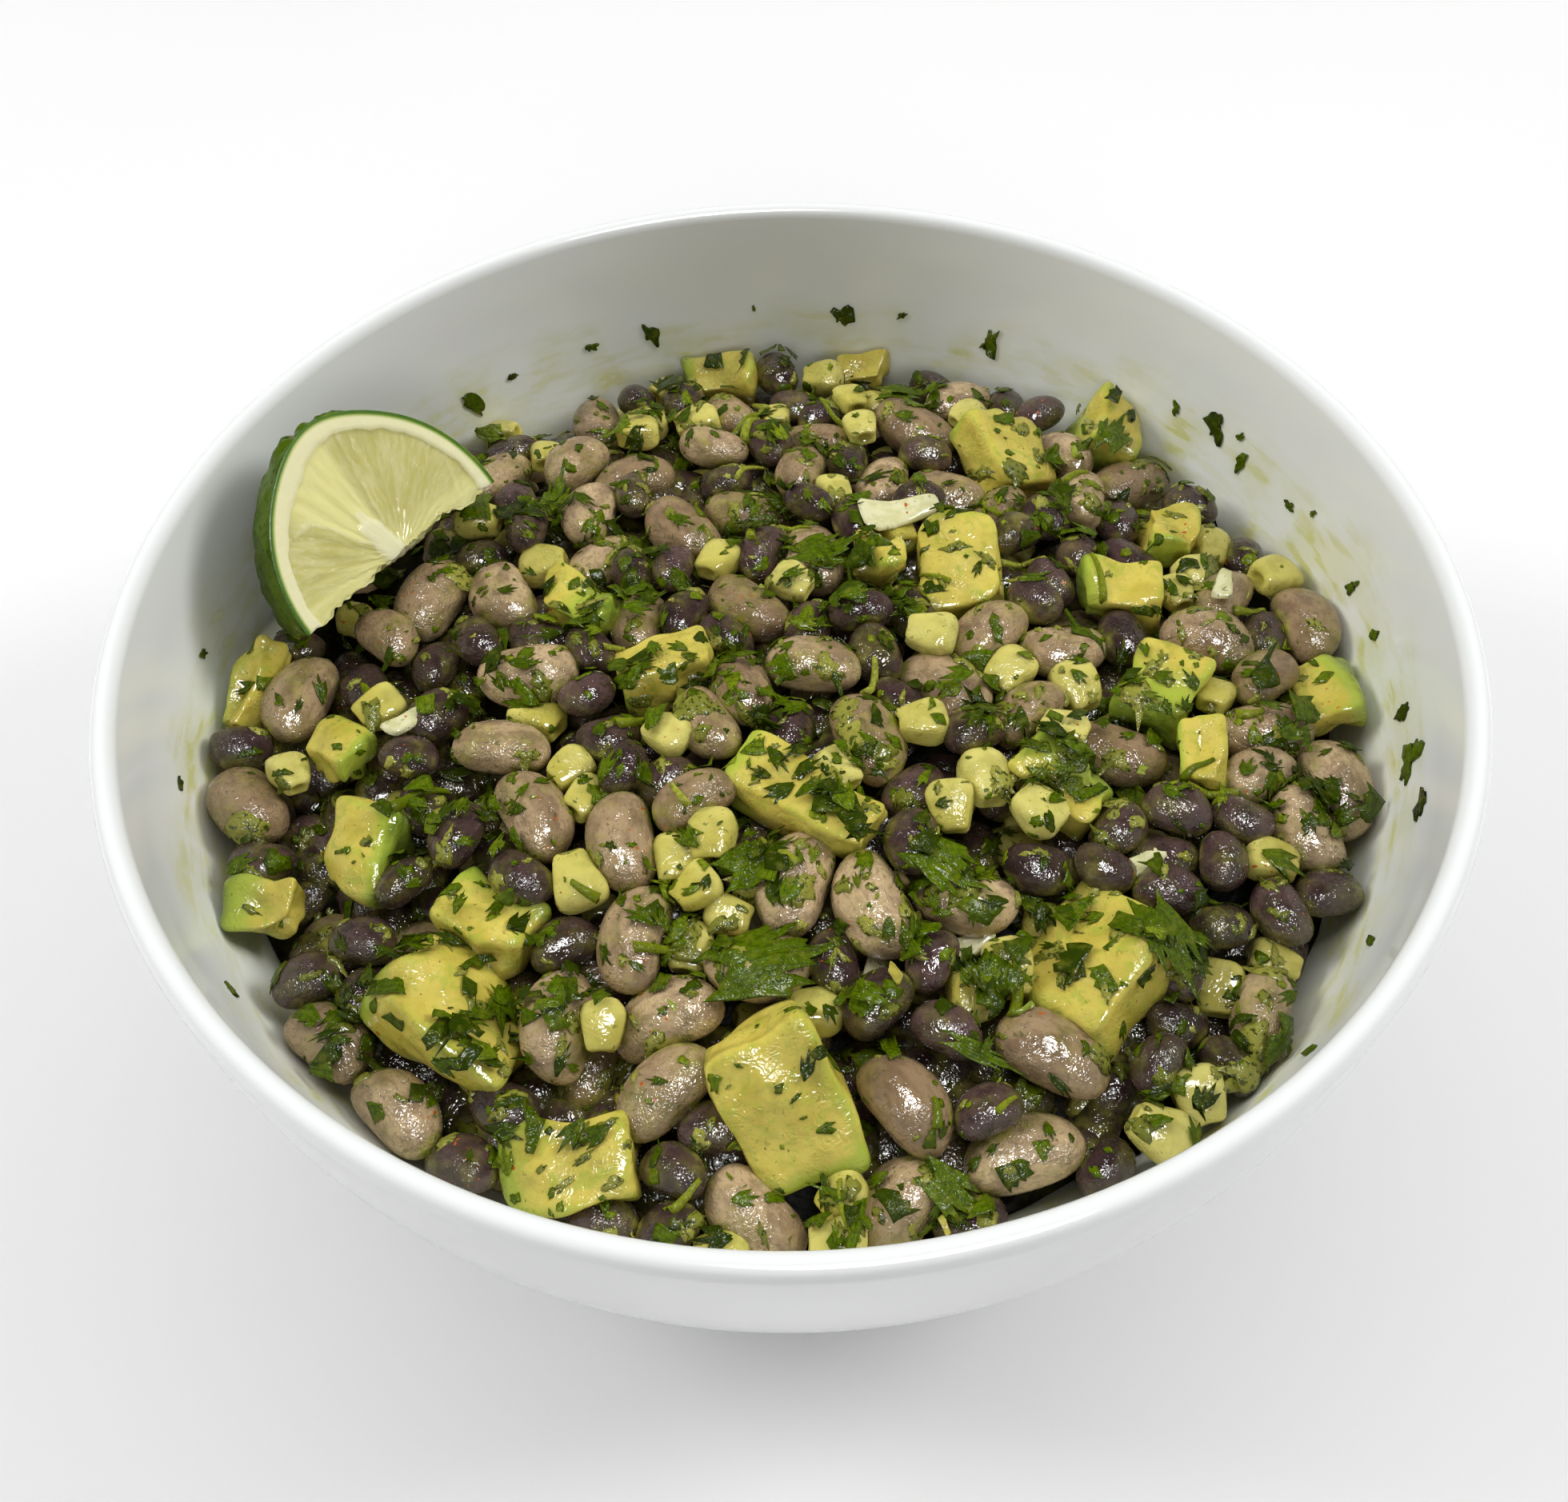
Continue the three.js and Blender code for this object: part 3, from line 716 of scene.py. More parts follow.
    @staticmethod
    def _pushes(
        points: Array, others: Array, reach: Array, share: float
    ) -> tuple[Array, Array]:
        """What others push on points.

        Args:
            points: The pushed points.
            others: The points that push.
            reach: How near each of these must be to push each of those.
            share: The share of an overlap that a push undoes.

        Returns:
            The summed push on each point, and the number of its pushes.
        """
        gaps = points[:, None, :] - others[None, :, :]
        far = np.linalg.norm(gaps, axis=2)
        near = (far < reach) & (far > NEAR_ZERO)
        scale = np.where(near, (reach - far) / np.maximum(far, NEAR_ZERO) * share, 0)
        return np.einsum("ijk,ij->ik", gaps, scale), near.sum(1)


def gridded_cube(cuts: int) -> bmesh.types.BMesh:
    """A cube from -1 to 1 whose faces are cut into a grid.

    Args:
        cuts: The cuts across each edge.

    Returns:
        The shape.
    """
    shape = bmesh.new()
    bmesh.ops.create_cube(shape, size=2)
    bmesh.ops.subdivide_edges(shape, edges=shape.edges[:], cuts=cuts, use_grid_fill=True)
    return shape


def spun(outline: list[tuple[float, float]], sides: int) -> bmesh.types.BMesh:
    """Spins an outline round Z.

    Args:
        outline: Its distances from Z, and its heights.
        sides: Number of steps round.

    Returns:
        The closed shape.
    """
    shape = bmesh.new()
    verts = [shape.verts.new((across, 0, height)) for across, height in outline]
    edges = [shape.edges.new(pair) for pair in zip(verts, verts[1:])]
    bmesh.ops.spin(
        shape, geom=verts + edges, cent=(0, 0, 0), axis=(0, 0, 1), angle=FULL_TURN, steps=sides,
        use_merge=True,
    )
    bmesh.ops.remove_doubles(shape, verts=shape.verts, dist=MERGE)
    bmesh.ops.recalc_face_normals(shape, faces=shape.faces)
    return shape


def corners(face: bmesh.types.BMFace) -> list[int]:
    """The numbers of a face's points. Faces are sorted by them, as operators order them anew each run.

    Args:
        face: The face of a shape whose points are numbered.

    Returns:
        The numbers.
    """
    return [vert.index for vert in face.verts]


def meshed(name: str, shape: bmesh.types.BMesh) -> bpy.types.Mesh:
    """Turns a shape into a mesh, and lets the shape go.

    Args:
        name: The mesh's name.
        shape: The shape, in metres.

    Returns:
        The mesh.
    """
    shape.verts.index_update()
    places = {face: place for place, face in enumerate(sorted(shape.faces, key=corners))}
    shape.faces.sort(key=places.get)
    mesh = bpy.data.meshes.new(name)
    shape.to_mesh(mesh)
    shape.free()
    return mesh


def added(mesh: bpy.types.Mesh, *finishes: Finish) -> bpy.types.Object:
    """Adds a mesh to the scene.

    Args:
        mesh: The mesh, in metres.
        finishes: Its materials.

    Returns:
        The object, named as its mesh is.
    """
    for finish in finishes:
        mesh.materials.append(finish)
    shown = bpy.data.objects.new(mesh.name, mesh)
    bpy.context.scene.collection.objects.link(shown)
    log.info("%s: %d faces", mesh.name, len(mesh.polygons))
    return shown


def dressed(mesh: bpy.types.Mesh, slot: str, node: str, *finishes: Finish) -> None:
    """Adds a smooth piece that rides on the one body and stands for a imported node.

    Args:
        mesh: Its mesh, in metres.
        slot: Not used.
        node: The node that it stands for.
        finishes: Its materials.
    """
    mesh.shade_smooth()
    shown = added(mesh, *finishes)
    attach(shown, "root")
    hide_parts(node)


@dataclass
class Form:
    """The points and triangles of one small shape, ready to be copied."""

    points: Array
    triangles: Array

    @classmethod
    def of(cls, shape: bmesh.types.BMesh) -> Form:
        """Takes the form of a shape, which is then let go.

        Args:
            shape: The shape.

        Returns:
            Its form.
        """
        bmesh.ops.triangulate(shape, faces=shape.faces[:])
        shape.verts.index_update()
        points = np.array([vert.co[:] for vert in shape.verts])
        triangles = np.array(sorted(map(corners, shape.faces)))
        shape.free()
        return cls(points, triangles)

    @classmethod
    def ball(cls, segments: int, rings: int) -> Form:
        """A unit ball with its poles on X.

        Args:
            segments: Number of faces round it.
            rings: Number of faces from pole to pole.

        Returns:
            Its form.
        """
        shape = bmesh.new()
        bmesh.ops.create_uvsphere(shape, u_segments=segments, v_segments=rings, radius=1)
        bmesh.ops.rotate(shape, verts=shape.verts, cent=(0, 0, 0), matrix=ONTO_X)
        return cls.of(shape)

    @classmethod
    def sheet(cls, columns: int, rows: int) -> Form:
        """A closed thin sheet: X and Y from -1 to 1, and Z of 1 on its upper face and -1 on its lower.

        Args:
            columns: Number of faces along X.
            rows: Number of faces along Y.

        Returns:
            Its form.
        """
        shape = bmesh.new()
        bmesh.ops.create_grid(shape, x_segments=columns, y_segments=rows, size=1)
        bmesh.ops.translate(shape, verts=shape.verts, vec=(0, 0, -1))
        raised = bmesh.ops.extrude_face_region(shape, geom=shape.faces[:], use_keep_orig=True)["geom"]
        upper = [part for part in raised if isinstance(part, bmesh.types.BMVert)]
        bmesh.ops.translate(shape, verts=upper, vec=(0, 0, 2))
        bmesh.ops.recalc_face_normals(shape, faces=shape.faces)
        return cls.of(shape)

    @classmethod
    def rod(cls, sides: int, cuts: int) -> Form:
        """A closed rod of radius 1 along X, from -1 to 1.

        Args:
            sides: Number of faces round it.
            cuts: Number of cuts along it.

        Returns:
            Its form.
        """
        shape = bmesh.new()
        bmesh.ops.create_cone(shape, cap_ends=True, segments=sides, radius1=1, radius2=1, depth=2)
        bmesh.ops.rotate(shape, verts=shape.verts, cent=(0, 0, 0), matrix=ONTO_X)
        long_edges = [edge for edge in shape.edges if abs(edge.verts[0].co.x - edge.verts[1].co.x) > 1]
        bmesh.ops.subdivide_edges(shape, edges=long_edges, cuts=cuts)
        return cls.of(shape)


@dataclass
class Pile:
    """Many small shapes gathered into one piece of the salad, with a few marks on their points."""

    bowl: BowlShape | None = None
    points: list[Array] = field(default_factory=list)
    triangles: list[Array] = field(default_factory=list)
    marks: dict[str, list[Array]] = field(default_factory=dict)
    count: int = 0

    def add(self, points: Array, triangles: Array, **marks: Array | float) -> None:
        """Adds one shape, kept inside the bowl where the pile has one.

        Args:
            points: Its points in millimetres.
            triangles: Its triangles.
            marks: Numbers or vectors for its points, by name. One number serves all of them.
        """
        self.points.append(self.bowl.kept_in(points) if self.bowl else points)
        self.triangles.append(triangles + self.count)
        for name, value in marks.items():
            values = np.full(len(points), value) if np.isscalar(value) else value
            self.marks.setdefault(name, []).append(values)
        self.count += len(points)

    def build(self, name: str, finish: Finish) -> Pile:
        """Makes the piece.

        Args:
            name: Its name.
            finish: Its material.

        Returns:
            The pile.
        """
        mesh = bpy.data.meshes.new(name)
        mesh.from_pydata(np.concatenate(self.points) * METRES, [], np.concatenate(self.triangles))
        for mark, values in self.marks.items():
            numbers = np.concatenate(values).astype(np.float32)
            layer, key = ("FLOAT_VECTOR", "vector") if numbers.ndim == 2 else ("FLOAT", "value")
            mesh.attributes.new(mark, layer, "POINT").data.foreach_set(key, numbers.ravel())
        dressed(mesh, "salad", "salad", finish)
        return self


def tint(red: int, green: int, blue: int) -> Colour:
    """A screen colour of 0 to 255 a channel, as the renderer's linear colour."""
    parts = [value / 255 for value in (red, green, blue)]
    return (*(part / 12.92 if part <= 0.04045 else ((part + 0.055) / 1.055) ** 2.4 for part in parts), 1.0)


class Term:
    """A number that varies over a surface. Python's operators on it add Math nodes."""

    def __init__(self, recipe: Recipe, socket: Socket) -> None:
        """Wraps a socket of a recipe."""
        self.recipe = recipe
        self.socket = socket

    def _maths(self, operation: str, *values: Any) -> Term:
        """One Math node on values."""
        return self.recipe.term("ShaderNodeMath", {"operation": operation}, dict(enumerate(values)))

    def __add__(self, other: Term | float) -> Term:
        """This plus other."""
        return self._maths("ADD", self, other)

    __radd__ = __add__

    def __mul__(self, other: Term | float) -> Term:
        """This times other."""
        return self._maths("MULTIPLY", self, other)

    __rmul__ = __mul__

    def __sub__(self, other: Term | float) -> Term:
        """This less other."""
        return self._maths("SUBTRACT", self, other)

    def __rsub__(self, other: Term | float) -> Term:
        """Other less this."""
        return self._maths("SUBTRACT", other, self)

    def __truediv__(self, other: Term | float) -> Term:
        """This divided by other."""
        return self._maths("DIVIDE", self, other)

    def root(self) -> Term:
        """Its square root."""
        return self._maths("SQRT", self)

    def band(self, low: float, high: float) -> Term:
        """0 under low, 1 over high, and a smooth rise between."""
        inputs = {0: self, 1: low, 2: high, 3: 0.0, 4: 1.0}
        return self.recipe.term("ShaderNodeMapRange", {"interpolation_type": "SMOOTHSTEP"}, inputs)


class Recipe:
    """The nodes of one finish."""

    def __init__(self, name: str, **constants: Any) -> None:
        """Starts a material.

        Args:
            name: Its name.
            constants: Values of its shader's sockets, by name with underscores for spaces.
        """
        self.material = bpy.data.materials.new(name)
        self.material.use_nodes = True
        self.tree = self.material.node_tree
        self.shader = self.tree.nodes["Principled BSDF"]
        for socket, value in constants.items():
            self.shader.inputs[socket.replace("_", " ")].default_value = value
        self.place = self.node("ShaderNodeTexCoord").outputs["Object"]

    def node(
        self, kind: str, settings: dict[str, Any] | None = None, inputs: dict[int | str, Any] | None = None
    ) -> bpy.types.Node:
        """Adds one node.

        Args:
            kind: The node's type.
            settings: Its own settings, set first.
            inputs: Values or links of its sockets, by number or name.

        Returns:
            The node.
        """
        made = self.tree.nodes.new(kind)
        for name, value in (settings or {}).items():
            setattr(made, name, value)
        for key, value in (inputs or {}).items():
            self.feed(made.inputs[key], value)
        return made

    def term(
        self, kind: str, settings: dict[str, Any] | None = None, inputs: dict[int | str, Any] | None = None,
        output: int | str = 0,
    ) -> Term:
        """Adds one node, and gives its output number or name as a number to reckon with."""
        return Term(self, self.node(kind, settings, inputs).outputs[output])

    def feed(self, socket: Socket, value: Any) -> None:
        """Links or sets a socket.

        Args:
            socket: The socket.
            value: A term or another socket to link, or a value to set.
        """
        source = value.socket if isinstance(value, Term) else value
        if isinstance(source, Socket):
            self.tree.links.new(source, socket)
        else:
            socket.default_value = source

    def mark(self, name: str, output: str = "Fac") -> Term:
        """A mark that the mesh carries."""
        return self.term("ShaderNodeAttribute", {"attribute_name": name}, output=output)

    def noise(
        self, grain: float, detail: float = 2.0, at: Socket | None = None, distortion: float = 0.0
    ) -> Term:
        """Cloudy noise.

        Args:
            grain: About how wide its patches are, in millimetres on the object's own place.
            detail: Its number of finer layers.
            at: Another place to read.
            distortion: How much it is stirred.

        Returns:
            The noise.
        """
        scale = 1 / grain if at else 1 / (grain * METRES)
        inputs = {"Vector": at or self.place, "Scale": scale, "Detail": detail, "Distortion": distortion}
        return self.term("ShaderNodeTexNoise", None, inputs)

    def blend(self, share: Term | float, first: Any, second: Any) -> Socket:
        """A colour that turns from first to second as share goes from 0 to 1."""
        inputs = {0: share, 6: first, 7: second}
        return self.node("ShaderNodeMix", {"data_type": "RGBA"}, inputs).outputs[2]

    def layered(self, base: Any, *coats: tuple[Term, Colour]) -> Socket:
        """Lays colours over each other.

        Args:
            base: The lowest colour.
            coats: Where each next colour shows, from 0 to 1, and the colour.

        Returns:
            The colour that they make.
        """
        for share, colour in coats:
            base = self.blend(share, base, colour)
        return base

    def flecked(self, base: Any, amount: float, herb: float = 0.7) -> Socket:
        """A colour dressed with creamy green, most where pieces touch, and strewn with crumbs of herb.

        Args:
            base: The food's own colour.
            amount: How much of the dressing shows, from 0 to 1.
            herb: How strongly the crumbs show, from 0 to 1.

        Returns:
            The dressed colour.
        """
        thin = self.noise(7.0, 3.0).band(0.42, 0.72) * (0.4 + 0.6 * self.noise(1.6, 3.0).band(0.38, 0.62))
        gathered = self.mark("near").band(0.15, 0.9) * self.noise(2.6, 3.0).band(0.32, 0.6)
        cream = self.blend(self.noise(3.0).band(0.35, 0.65), tint(96, 104, 16), tint(162, 158, 62))
        crumbs = self.noise(1.2, 3.0, distortion=0.8).band(0.63, 0.67) * self.noise(9.0, 1.0).band(0.4, 0.62)
        spice = self.noise(1.1, 0.0).band(0.78, 0.8) * self.noise(16.0, 0.0).band(0.68, 0.7)
        return self.layered(
            base,
            ((0.75 * thin + 0.9 * gathered) * amount, cream),
            (crumbs * herb, tint(62, 78, 6)),
            (spice, tint(186, 92, 24)),
        )

    def gloss(self, least: float, more: float) -> Term:
        """Roughness that rises by more in patches."""
        return least + more * self.noise(5.0).band(0.4, 0.7)

    def wet(self, grain: float = 1.0) -> Term:
        """Relief of a thin, wrinkled film of liquid, finest in patches."""
        wrinkles = self.noise(grain, 1.0, distortion=1.5)
        return wrinkles * (0.3 + 0.7 * self.noise(5.0, 1.0).band(0.36, 0.6)) + 1.2 * self.noise(3.5, 1.0)

    def finish(
        self, colour: Any, roughness: Term | float, relief: Term | None = None, strength: float = 1.0,
        depth: float = 0.4,
    ) -> Finish:
        """Joins the finish to the shader.

        Args:
            colour: Base colour.
            roughness: Roughness, a number or a pattern.
            relief: Height of the fine relief, from 0 to 1.
            strength: Strength of the relief.
            depth: Its depth in millimetres.

        Returns:
            The material.
        """
        self.feed(self.shader.inputs["Base Color"], colour)
        self.feed(self.shader.inputs["Roughness"], roughness)
        if relief is not None:
            inputs = {"Strength": strength, "Distance": depth * METRES, "Height": relief}
            self.feed(self.shader.inputs["Normal"], self.node("ShaderNodeBump", None, inputs).outputs[0])
        return self.material


@dataclass(frozen=True)
class Glaze:
    """White glaze, stained on the inside by the dressing above the salad's edge."""

    surface: SaladSurface
    white: Colour = tint(240, 242, 241)
    stain: Colour = tint(206, 206, 118)
    drawn_out: tuple[float, float, float] = (220.0, 220.0, 1000.0)

    def material(self) -> Finish:
        """Makes it.

        Returns:
            The material.
        """
        recipe = Recipe("white_glaze", IOR=1.5)
        split = recipe.node("ShaderNodeSeparateXYZ", None, {0: recipe.place})
        x, y, z = (Term(recipe, socket) for socket in split.outputs)
        across = (x * x + y * y).root()
        sine, cosine = y / across, x / across
        rise = self.surface.back_rise * sine + self.surface.sides_rise * (cosine * cosine - sine * sine)
        above = z / METRES - (self.surface.at_wall + rise)
        reach = 0.7 + 0.5 * recipe.noise(26.0, 1.0).band(0.4, 0.62) + 0.5 * cosine.band(0.5, 1.0)
        near = 1 - (above / reach).band(0.5, 12.0)
        stretch = {0: recipe.place, 1: self.drawn_out}
        wiped = recipe.node("ShaderNodeVectorMath", {"operation": "MULTIPLY"}, stretch).outputs[0]
        streaks = 0.5 + 0.5 * recipe.noise(2.4, 3.0, wiped).band(0.48, 0.62)
        patches = 0.35 + 0.65 * recipe.noise(13.0, 4.0).band(0.42, 0.66)
        mask = near * patches * streaks * recipe.mark("inner")
        colour = recipe.blend(mask * 0.85, self.white, self.stain)
        return recipe.finish(colour, 0.16 + 0.2 * mask, recipe.noise(30.0, 1.0), 0.06, 0.5)


@dataclass(frozen=True)
class BeanSkin:
    """The wet skin of a cooked bean, mottled and dressed."""

    name: str
    light: Colour
    dark: Colour
    mottle: Colour
    mottling: float
    dressing: float
    shine: float = 0.05

    def material(self) -> Finish:
        """Makes it.

        Returns:
            The material.
        """
        recipe = Recipe(self.name, Specular_IOR_Level=0.7)
        own = recipe.mark("own", "Vector").socket
        base = recipe.layered(
            self.dark,
            (recipe.mark("tone"), self.light),
            (recipe.noise(0.6, 3.0, own).band(0.4, 0.66) * 0.6, self.mottle),
            (recipe.noise(0.14, 3.0, own, 0.4).band(0.48, 0.68) * self.mottling, self.mottle),
        )
        colour = recipe.flecked(base, self.dressing)
        return recipe.finish(colour, recipe.gloss(self.shine, 0.14), recipe.wet())


@dataclass(frozen=True)
class KernelSkin:
    """Sweetcorn: pale yellow skin, and a darker hollow at the cut end, partly its pith and partly painted
    shade.
    """

    crown: Colour = tint(216, 207, 118)
    flank: Colour = tint(196, 184, 82)
    cut: Colour = tint(158, 146, 52)

    def material(self) -> Finish:
        """Makes it.

        Returns:
            The material.
        """
        recipe = Recipe(
            "sweetcorn_skin", Specular_IOR_Level=0.5, Subsurface_Weight=0.2, Subsurface_Scale=0.002,
            Subsurface_Radius=(1.0, 0.8, 0.3),
        )
        split = recipe.node("ShaderNodeSeparateXYZ", None, {0: recipe.mark("own", "Vector")})
        along, sideways, upwards = (Term(recipe, socket) for socket in split.outputs)
        pith = 1 - (sideways * sideways + upwards * upwards).band(0.05, 0.5)
        base = recipe.layered(
            self.flank,
            (recipe.mark("tone"), self.crown),
            (along.band(-0.5, 0.9) * 0.6, self.crown),
            # Darker middle of the cut end: partly the pith's colour, partly painted shade in the hollow.
            (pith * (1 - along.band(-0.98, -0.8)) * 0.85, self.cut),
            (recipe.noise(4.0).band(0.45, 0.7) * 0.35, self.cut),
        )
        return recipe.finish(recipe.flecked(base, 0.45), recipe.gloss(0.08, 0.2), recipe.wet(1.4), 1.0, 0.28)


@dataclass(frozen=True)
class AvocadoFlesh:
    """Ripe avocado, yellow inside and green towards the peel, with a few brown specks."""

    yellow: Colour = tint(218, 200, 94)
    buff: Colour = tint(196, 177, 70)
    lime: Colour = tint(172, 186, 66)
    green: Colour = tint(118, 140, 42)
    speck: Colour = tint(88, 66, 24)

    def material(self) -> Finish:
        """Makes it.

        Returns:
            The material.
        """
        recipe = Recipe(
            "avocado_flesh", Specular_IOR_Level=0.5, Subsurface_Weight=0.15, Subsurface_Scale=0.002,
            Subsurface_Radius=(1.0, 0.8, 0.2),
        )
        depth = recipe.mark("peel") + 0.3 * (recipe.noise(6.0, 3.0) - 0.5)
        base = recipe.layered(
            self.yellow,
            (recipe.noise(8.0, 3.0).band(0.42, 0.66) * 0.8, self.buff),
            (depth.band(0.02, 0.45), self.lime),
            (depth.band(0.45, 0.95), self.green),
            (recipe.noise(4.0, 4.0, distortion=1.5).band(0.5, 0.7) * 0.62, self.lime),
            (recipe.noise(0.9, 1.0).band(0.74, 0.78) * 0.75, self.speck),
        )
        colour = recipe.flecked(base, 0.5, 0.3)
        return recipe.finish(colour, recipe.gloss(0.1, 0.2), recipe.wet(1.5), 1.0, 0.28)


@dataclass(frozen=True)
class HerbFinish:
    """Chopped coriander: wet leaf or stem, each piece in its own green."""

    name: str
    dark: Colour
    fresh: Colour
    pale: Colour
    film: Colour = tint(124, 126, 36)

    def material(self) -> Finish:
        """Makes it.

        Returns:
            The material.
        """
        recipe = Recipe(self.name, Specular_IOR_Level=0.22)
        tone = recipe.mark("tone")
        colour = recipe.layered(
            self.dark,
            (tone.band(0.0, 0.6), self.fresh),
            (tone.band(0.6, 1.0), self.pale),
            # Darker lines on the ribs: partly the veins' own colour, partly painted shade of the slits along
            # them.
            (recipe.mark("vein").band(0.7, 1.0) * 0.6, self.dark),
            (recipe.noise(0.9, 3.0).band(0.42, 0.62) * 0.5, self.dark),
            (recipe.noise(2.0, 3.0).band(0.5, 0.7) * 0.35, self.film),
        )
        return recipe.finish(colour, 0.1 + 0.14 * recipe.noise(3.0).band(0.35, 0.7), recipe.wet(0.9))


@dataclass(frozen=True)
class DressingFinish:
    """Creamy smears of crushed avocado with herb worked in."""

    thin: Colour = tint(96, 104, 22)
    thick: Colour = tint(168, 164, 74)
    cloud: Colour = tint(128, 130, 46)
    herb: Colour = tint(46, 60, 12)

    def material(self) -> Finish:
        """Makes it.

        Returns:
            The material.
        """
        recipe = Recipe("creamy_dressing", Specular_IOR_Level=0.5)
        colour = recipe.layered(
            self.thin,
            (recipe.mark("tone"), self.thick),
            (recipe.noise(1.6, 3.0).band(0.4, 0.65) * 0.5, self.cloud),
            (recipe.noise(1.0, 3.0).band(0.55, 0.62) * 0.85, self.herb),
        )
        return recipe.finish(colour, 0.12, recipe.wet(0.9), 1.0, 0.42)


@dataclass(frozen=True)
class MashFinish:
    """What lies in the gaps: painted shade, with dressing and herb in it painted nearly as dark."""

    # Painted shade: the gaps' darkness, with dressing and herb darkened as they look in it.
    shade: Colour = tint(14, 10, 2)
    dressing: Colour = tint(36, 34, 6)
    herb: Colour = tint(28, 36, 4)

    def material(self) -> Finish:
        """Makes it.

        Returns:
            The material.
        """
        recipe = Recipe("mash_in_painted_shade", Specular_IOR_Level=0.04)
        colour = recipe.layered(
            self.shade,
            (recipe.noise(4.0, 4.0).band(0.4, 0.65), self.dressing),
            (recipe.noise(1.4, 3.0).band(0.55, 0.7), self.herb),
        )
        return recipe.finish(colour, 0.5, recipe.noise(1.5, 3.0), 0.6, 0.6)


@dataclass(frozen=True)
class OnionFinish:
    """White shards of onion with yellower lines."""

    white: Colour = tint(226, 222, 178)
    lines: Colour = tint(196, 194, 124)

    def material(self) -> Finish:
        """Makes it.

        Returns:
            The material.
        """
        recipe = Recipe("white_onion", Specular_IOR_Level=0.5)
        base = recipe.blend(recipe.noise(2.0, 3.0).band(0.4, 0.65) * 0.5, self.white, self.lines)
        return recipe.finish(recipe.flecked(base, 0.3), 0.22, recipe.noise(1.5), 0.3, 0.3)


@dataclass(frozen=True)
class LimePeel:
    """Waxy green peel with oil pores, browner round the stem's scar."""

    dark: Colour = tint(42, 60, 0)
    fresh: Colour = tint(70, 92, 4)
    pore: Colour = tint(88, 110, 16)
    edge: Colour = tint(84, 114, 20)
    scar: Colour = tint(120, 104, 66)
    pore_gap: float = 1.3

    def material(self) -> Finish:
        """Makes it.

        Returns:
            The material.
        """
        recipe = Recipe("lime_peel", Specular_IOR_Level=0.12)
        cells = {"Vector": recipe.place, "Scale": 1 / (self.pore_gap * METRES)}
        pores = recipe.term("ShaderNodeTexVoronoi", None, cells)
        scar = recipe.mark("scar") + 0.5 * (recipe.noise(1.0, 4.0) - 0.5)
        colour = recipe.layered(
            self.dark,
            (recipe.noise(8.0, 4.0).band(0.35, 0.7), self.fresh),
            (pores.band(0.12, 0.5) * 0.3, self.pore),
            (recipe.mark("edge").band(0.35, 1.0) * 0.2, self.edge),
            (scar.band(0.35, 0.7), self.scar),
        )
        return recipe.finish(colour, 0.34, pores.band(0.0, 0.45) + 0.8 * recipe.noise(3.0, 3.0), 0.5)


@dataclass(frozen=True)
class LimePulp:
    """The cut face: a cream pith, membranes, and pulp drawn into fine vesicles, with painted light on part of
    it.
    """

    pith: Colour = tint(240, 236, 192)
    pulp: Colour = tint(206, 200, 124)
    juice: Colour = tint(226, 221, 168)
    cloud: Colour = tint(190, 184, 104)
    # Colour of the painted light on the pulp.
    glow: Colour = tint(246, 241, 170)
    under_peel: Colour = tint(150, 176, 62)
    peel: Colour = tint(66, 104, 26)

    def material(self) -> Finish:
        """Makes it.

        Returns:
            The material.
        """
        recipe = Recipe(
            "lime_pulp", Specular_IOR_Level=0.5, Subsurface_Weight=0.35, Subsurface_Scale=0.003,
            Subsurface_Radius=(1.0, 0.9, 0.4),
        )
        grain = recipe.mark("grain", "Vector").socket
        vesicles = recipe.noise(1.0, 3.0, grain, 0.6)
        white = recipe.mark("white") + 0.35 * (recipe.noise(1.6, 3.0) - 0.5)
        rim = recipe.mark("rim")
        colour = recipe.layered(
            self.pulp,
            (vesicles.band(0.34, 0.66) * 0.6, self.juice),
            (recipe.noise(6.0).band(0.4, 0.65) * 0.4, self.cloud),
            (recipe.noise(0.55, 2.0, grain, 0.8).band(0.62, 0.7) * 0.4, self.pith),
            # Painted light: a brighter sector of the pulp, and a strip by the square end.
            (recipe.mark("glow") * 0.75, self.glow),
            (white.band(0.2, 0.75), self.pith),
            (rim.band(0.0, 0.75), self.under_peel),
            (rim.band(0.45, 1.0), self.peel),
        )
        roughness = 0.16 + 0.34 * white.band(0.2, 0.8)
        return recipe.finish(colour, roughness, vesicles + 0.4 * recipe.wet(), 0.5, 0.3)


@dataclass(frozen=True)
class TableTop:
    """A plain pale table."""

    pale: Colour = tint(241, 241, 241)
    shade: Colour = tint(238, 238, 238)

    def material(self) -> Finish:
        """Makes it.

        Returns:
            The material.
        """
        recipe = Recipe("pale_table")
        return recipe.finish(recipe.blend(recipe.noise(160.0), self.pale, self.shade), 0.6)


PINTO_SKIN = BeanSkin("pinto_skin", tint(206, 179, 138), tint(146, 121, 90), tint(110, 86, 64), 0.4, 0.75)
BLACK_SKIN = BeanSkin("black_bean_skin", tint(94, 71, 68), tint(59, 42, 41), tint(36, 24, 23), 0.35, 0.5)
LEAF_GREEN = HerbFinish("coriander_leaf", tint(40, 54, 0), tint(88, 110, 2), tint(140, 154, 28))
STEM_GREEN = HerbFinish("coriander_stem", tint(92, 106, 10), tint(130, 140, 28), tint(164, 166, 64))


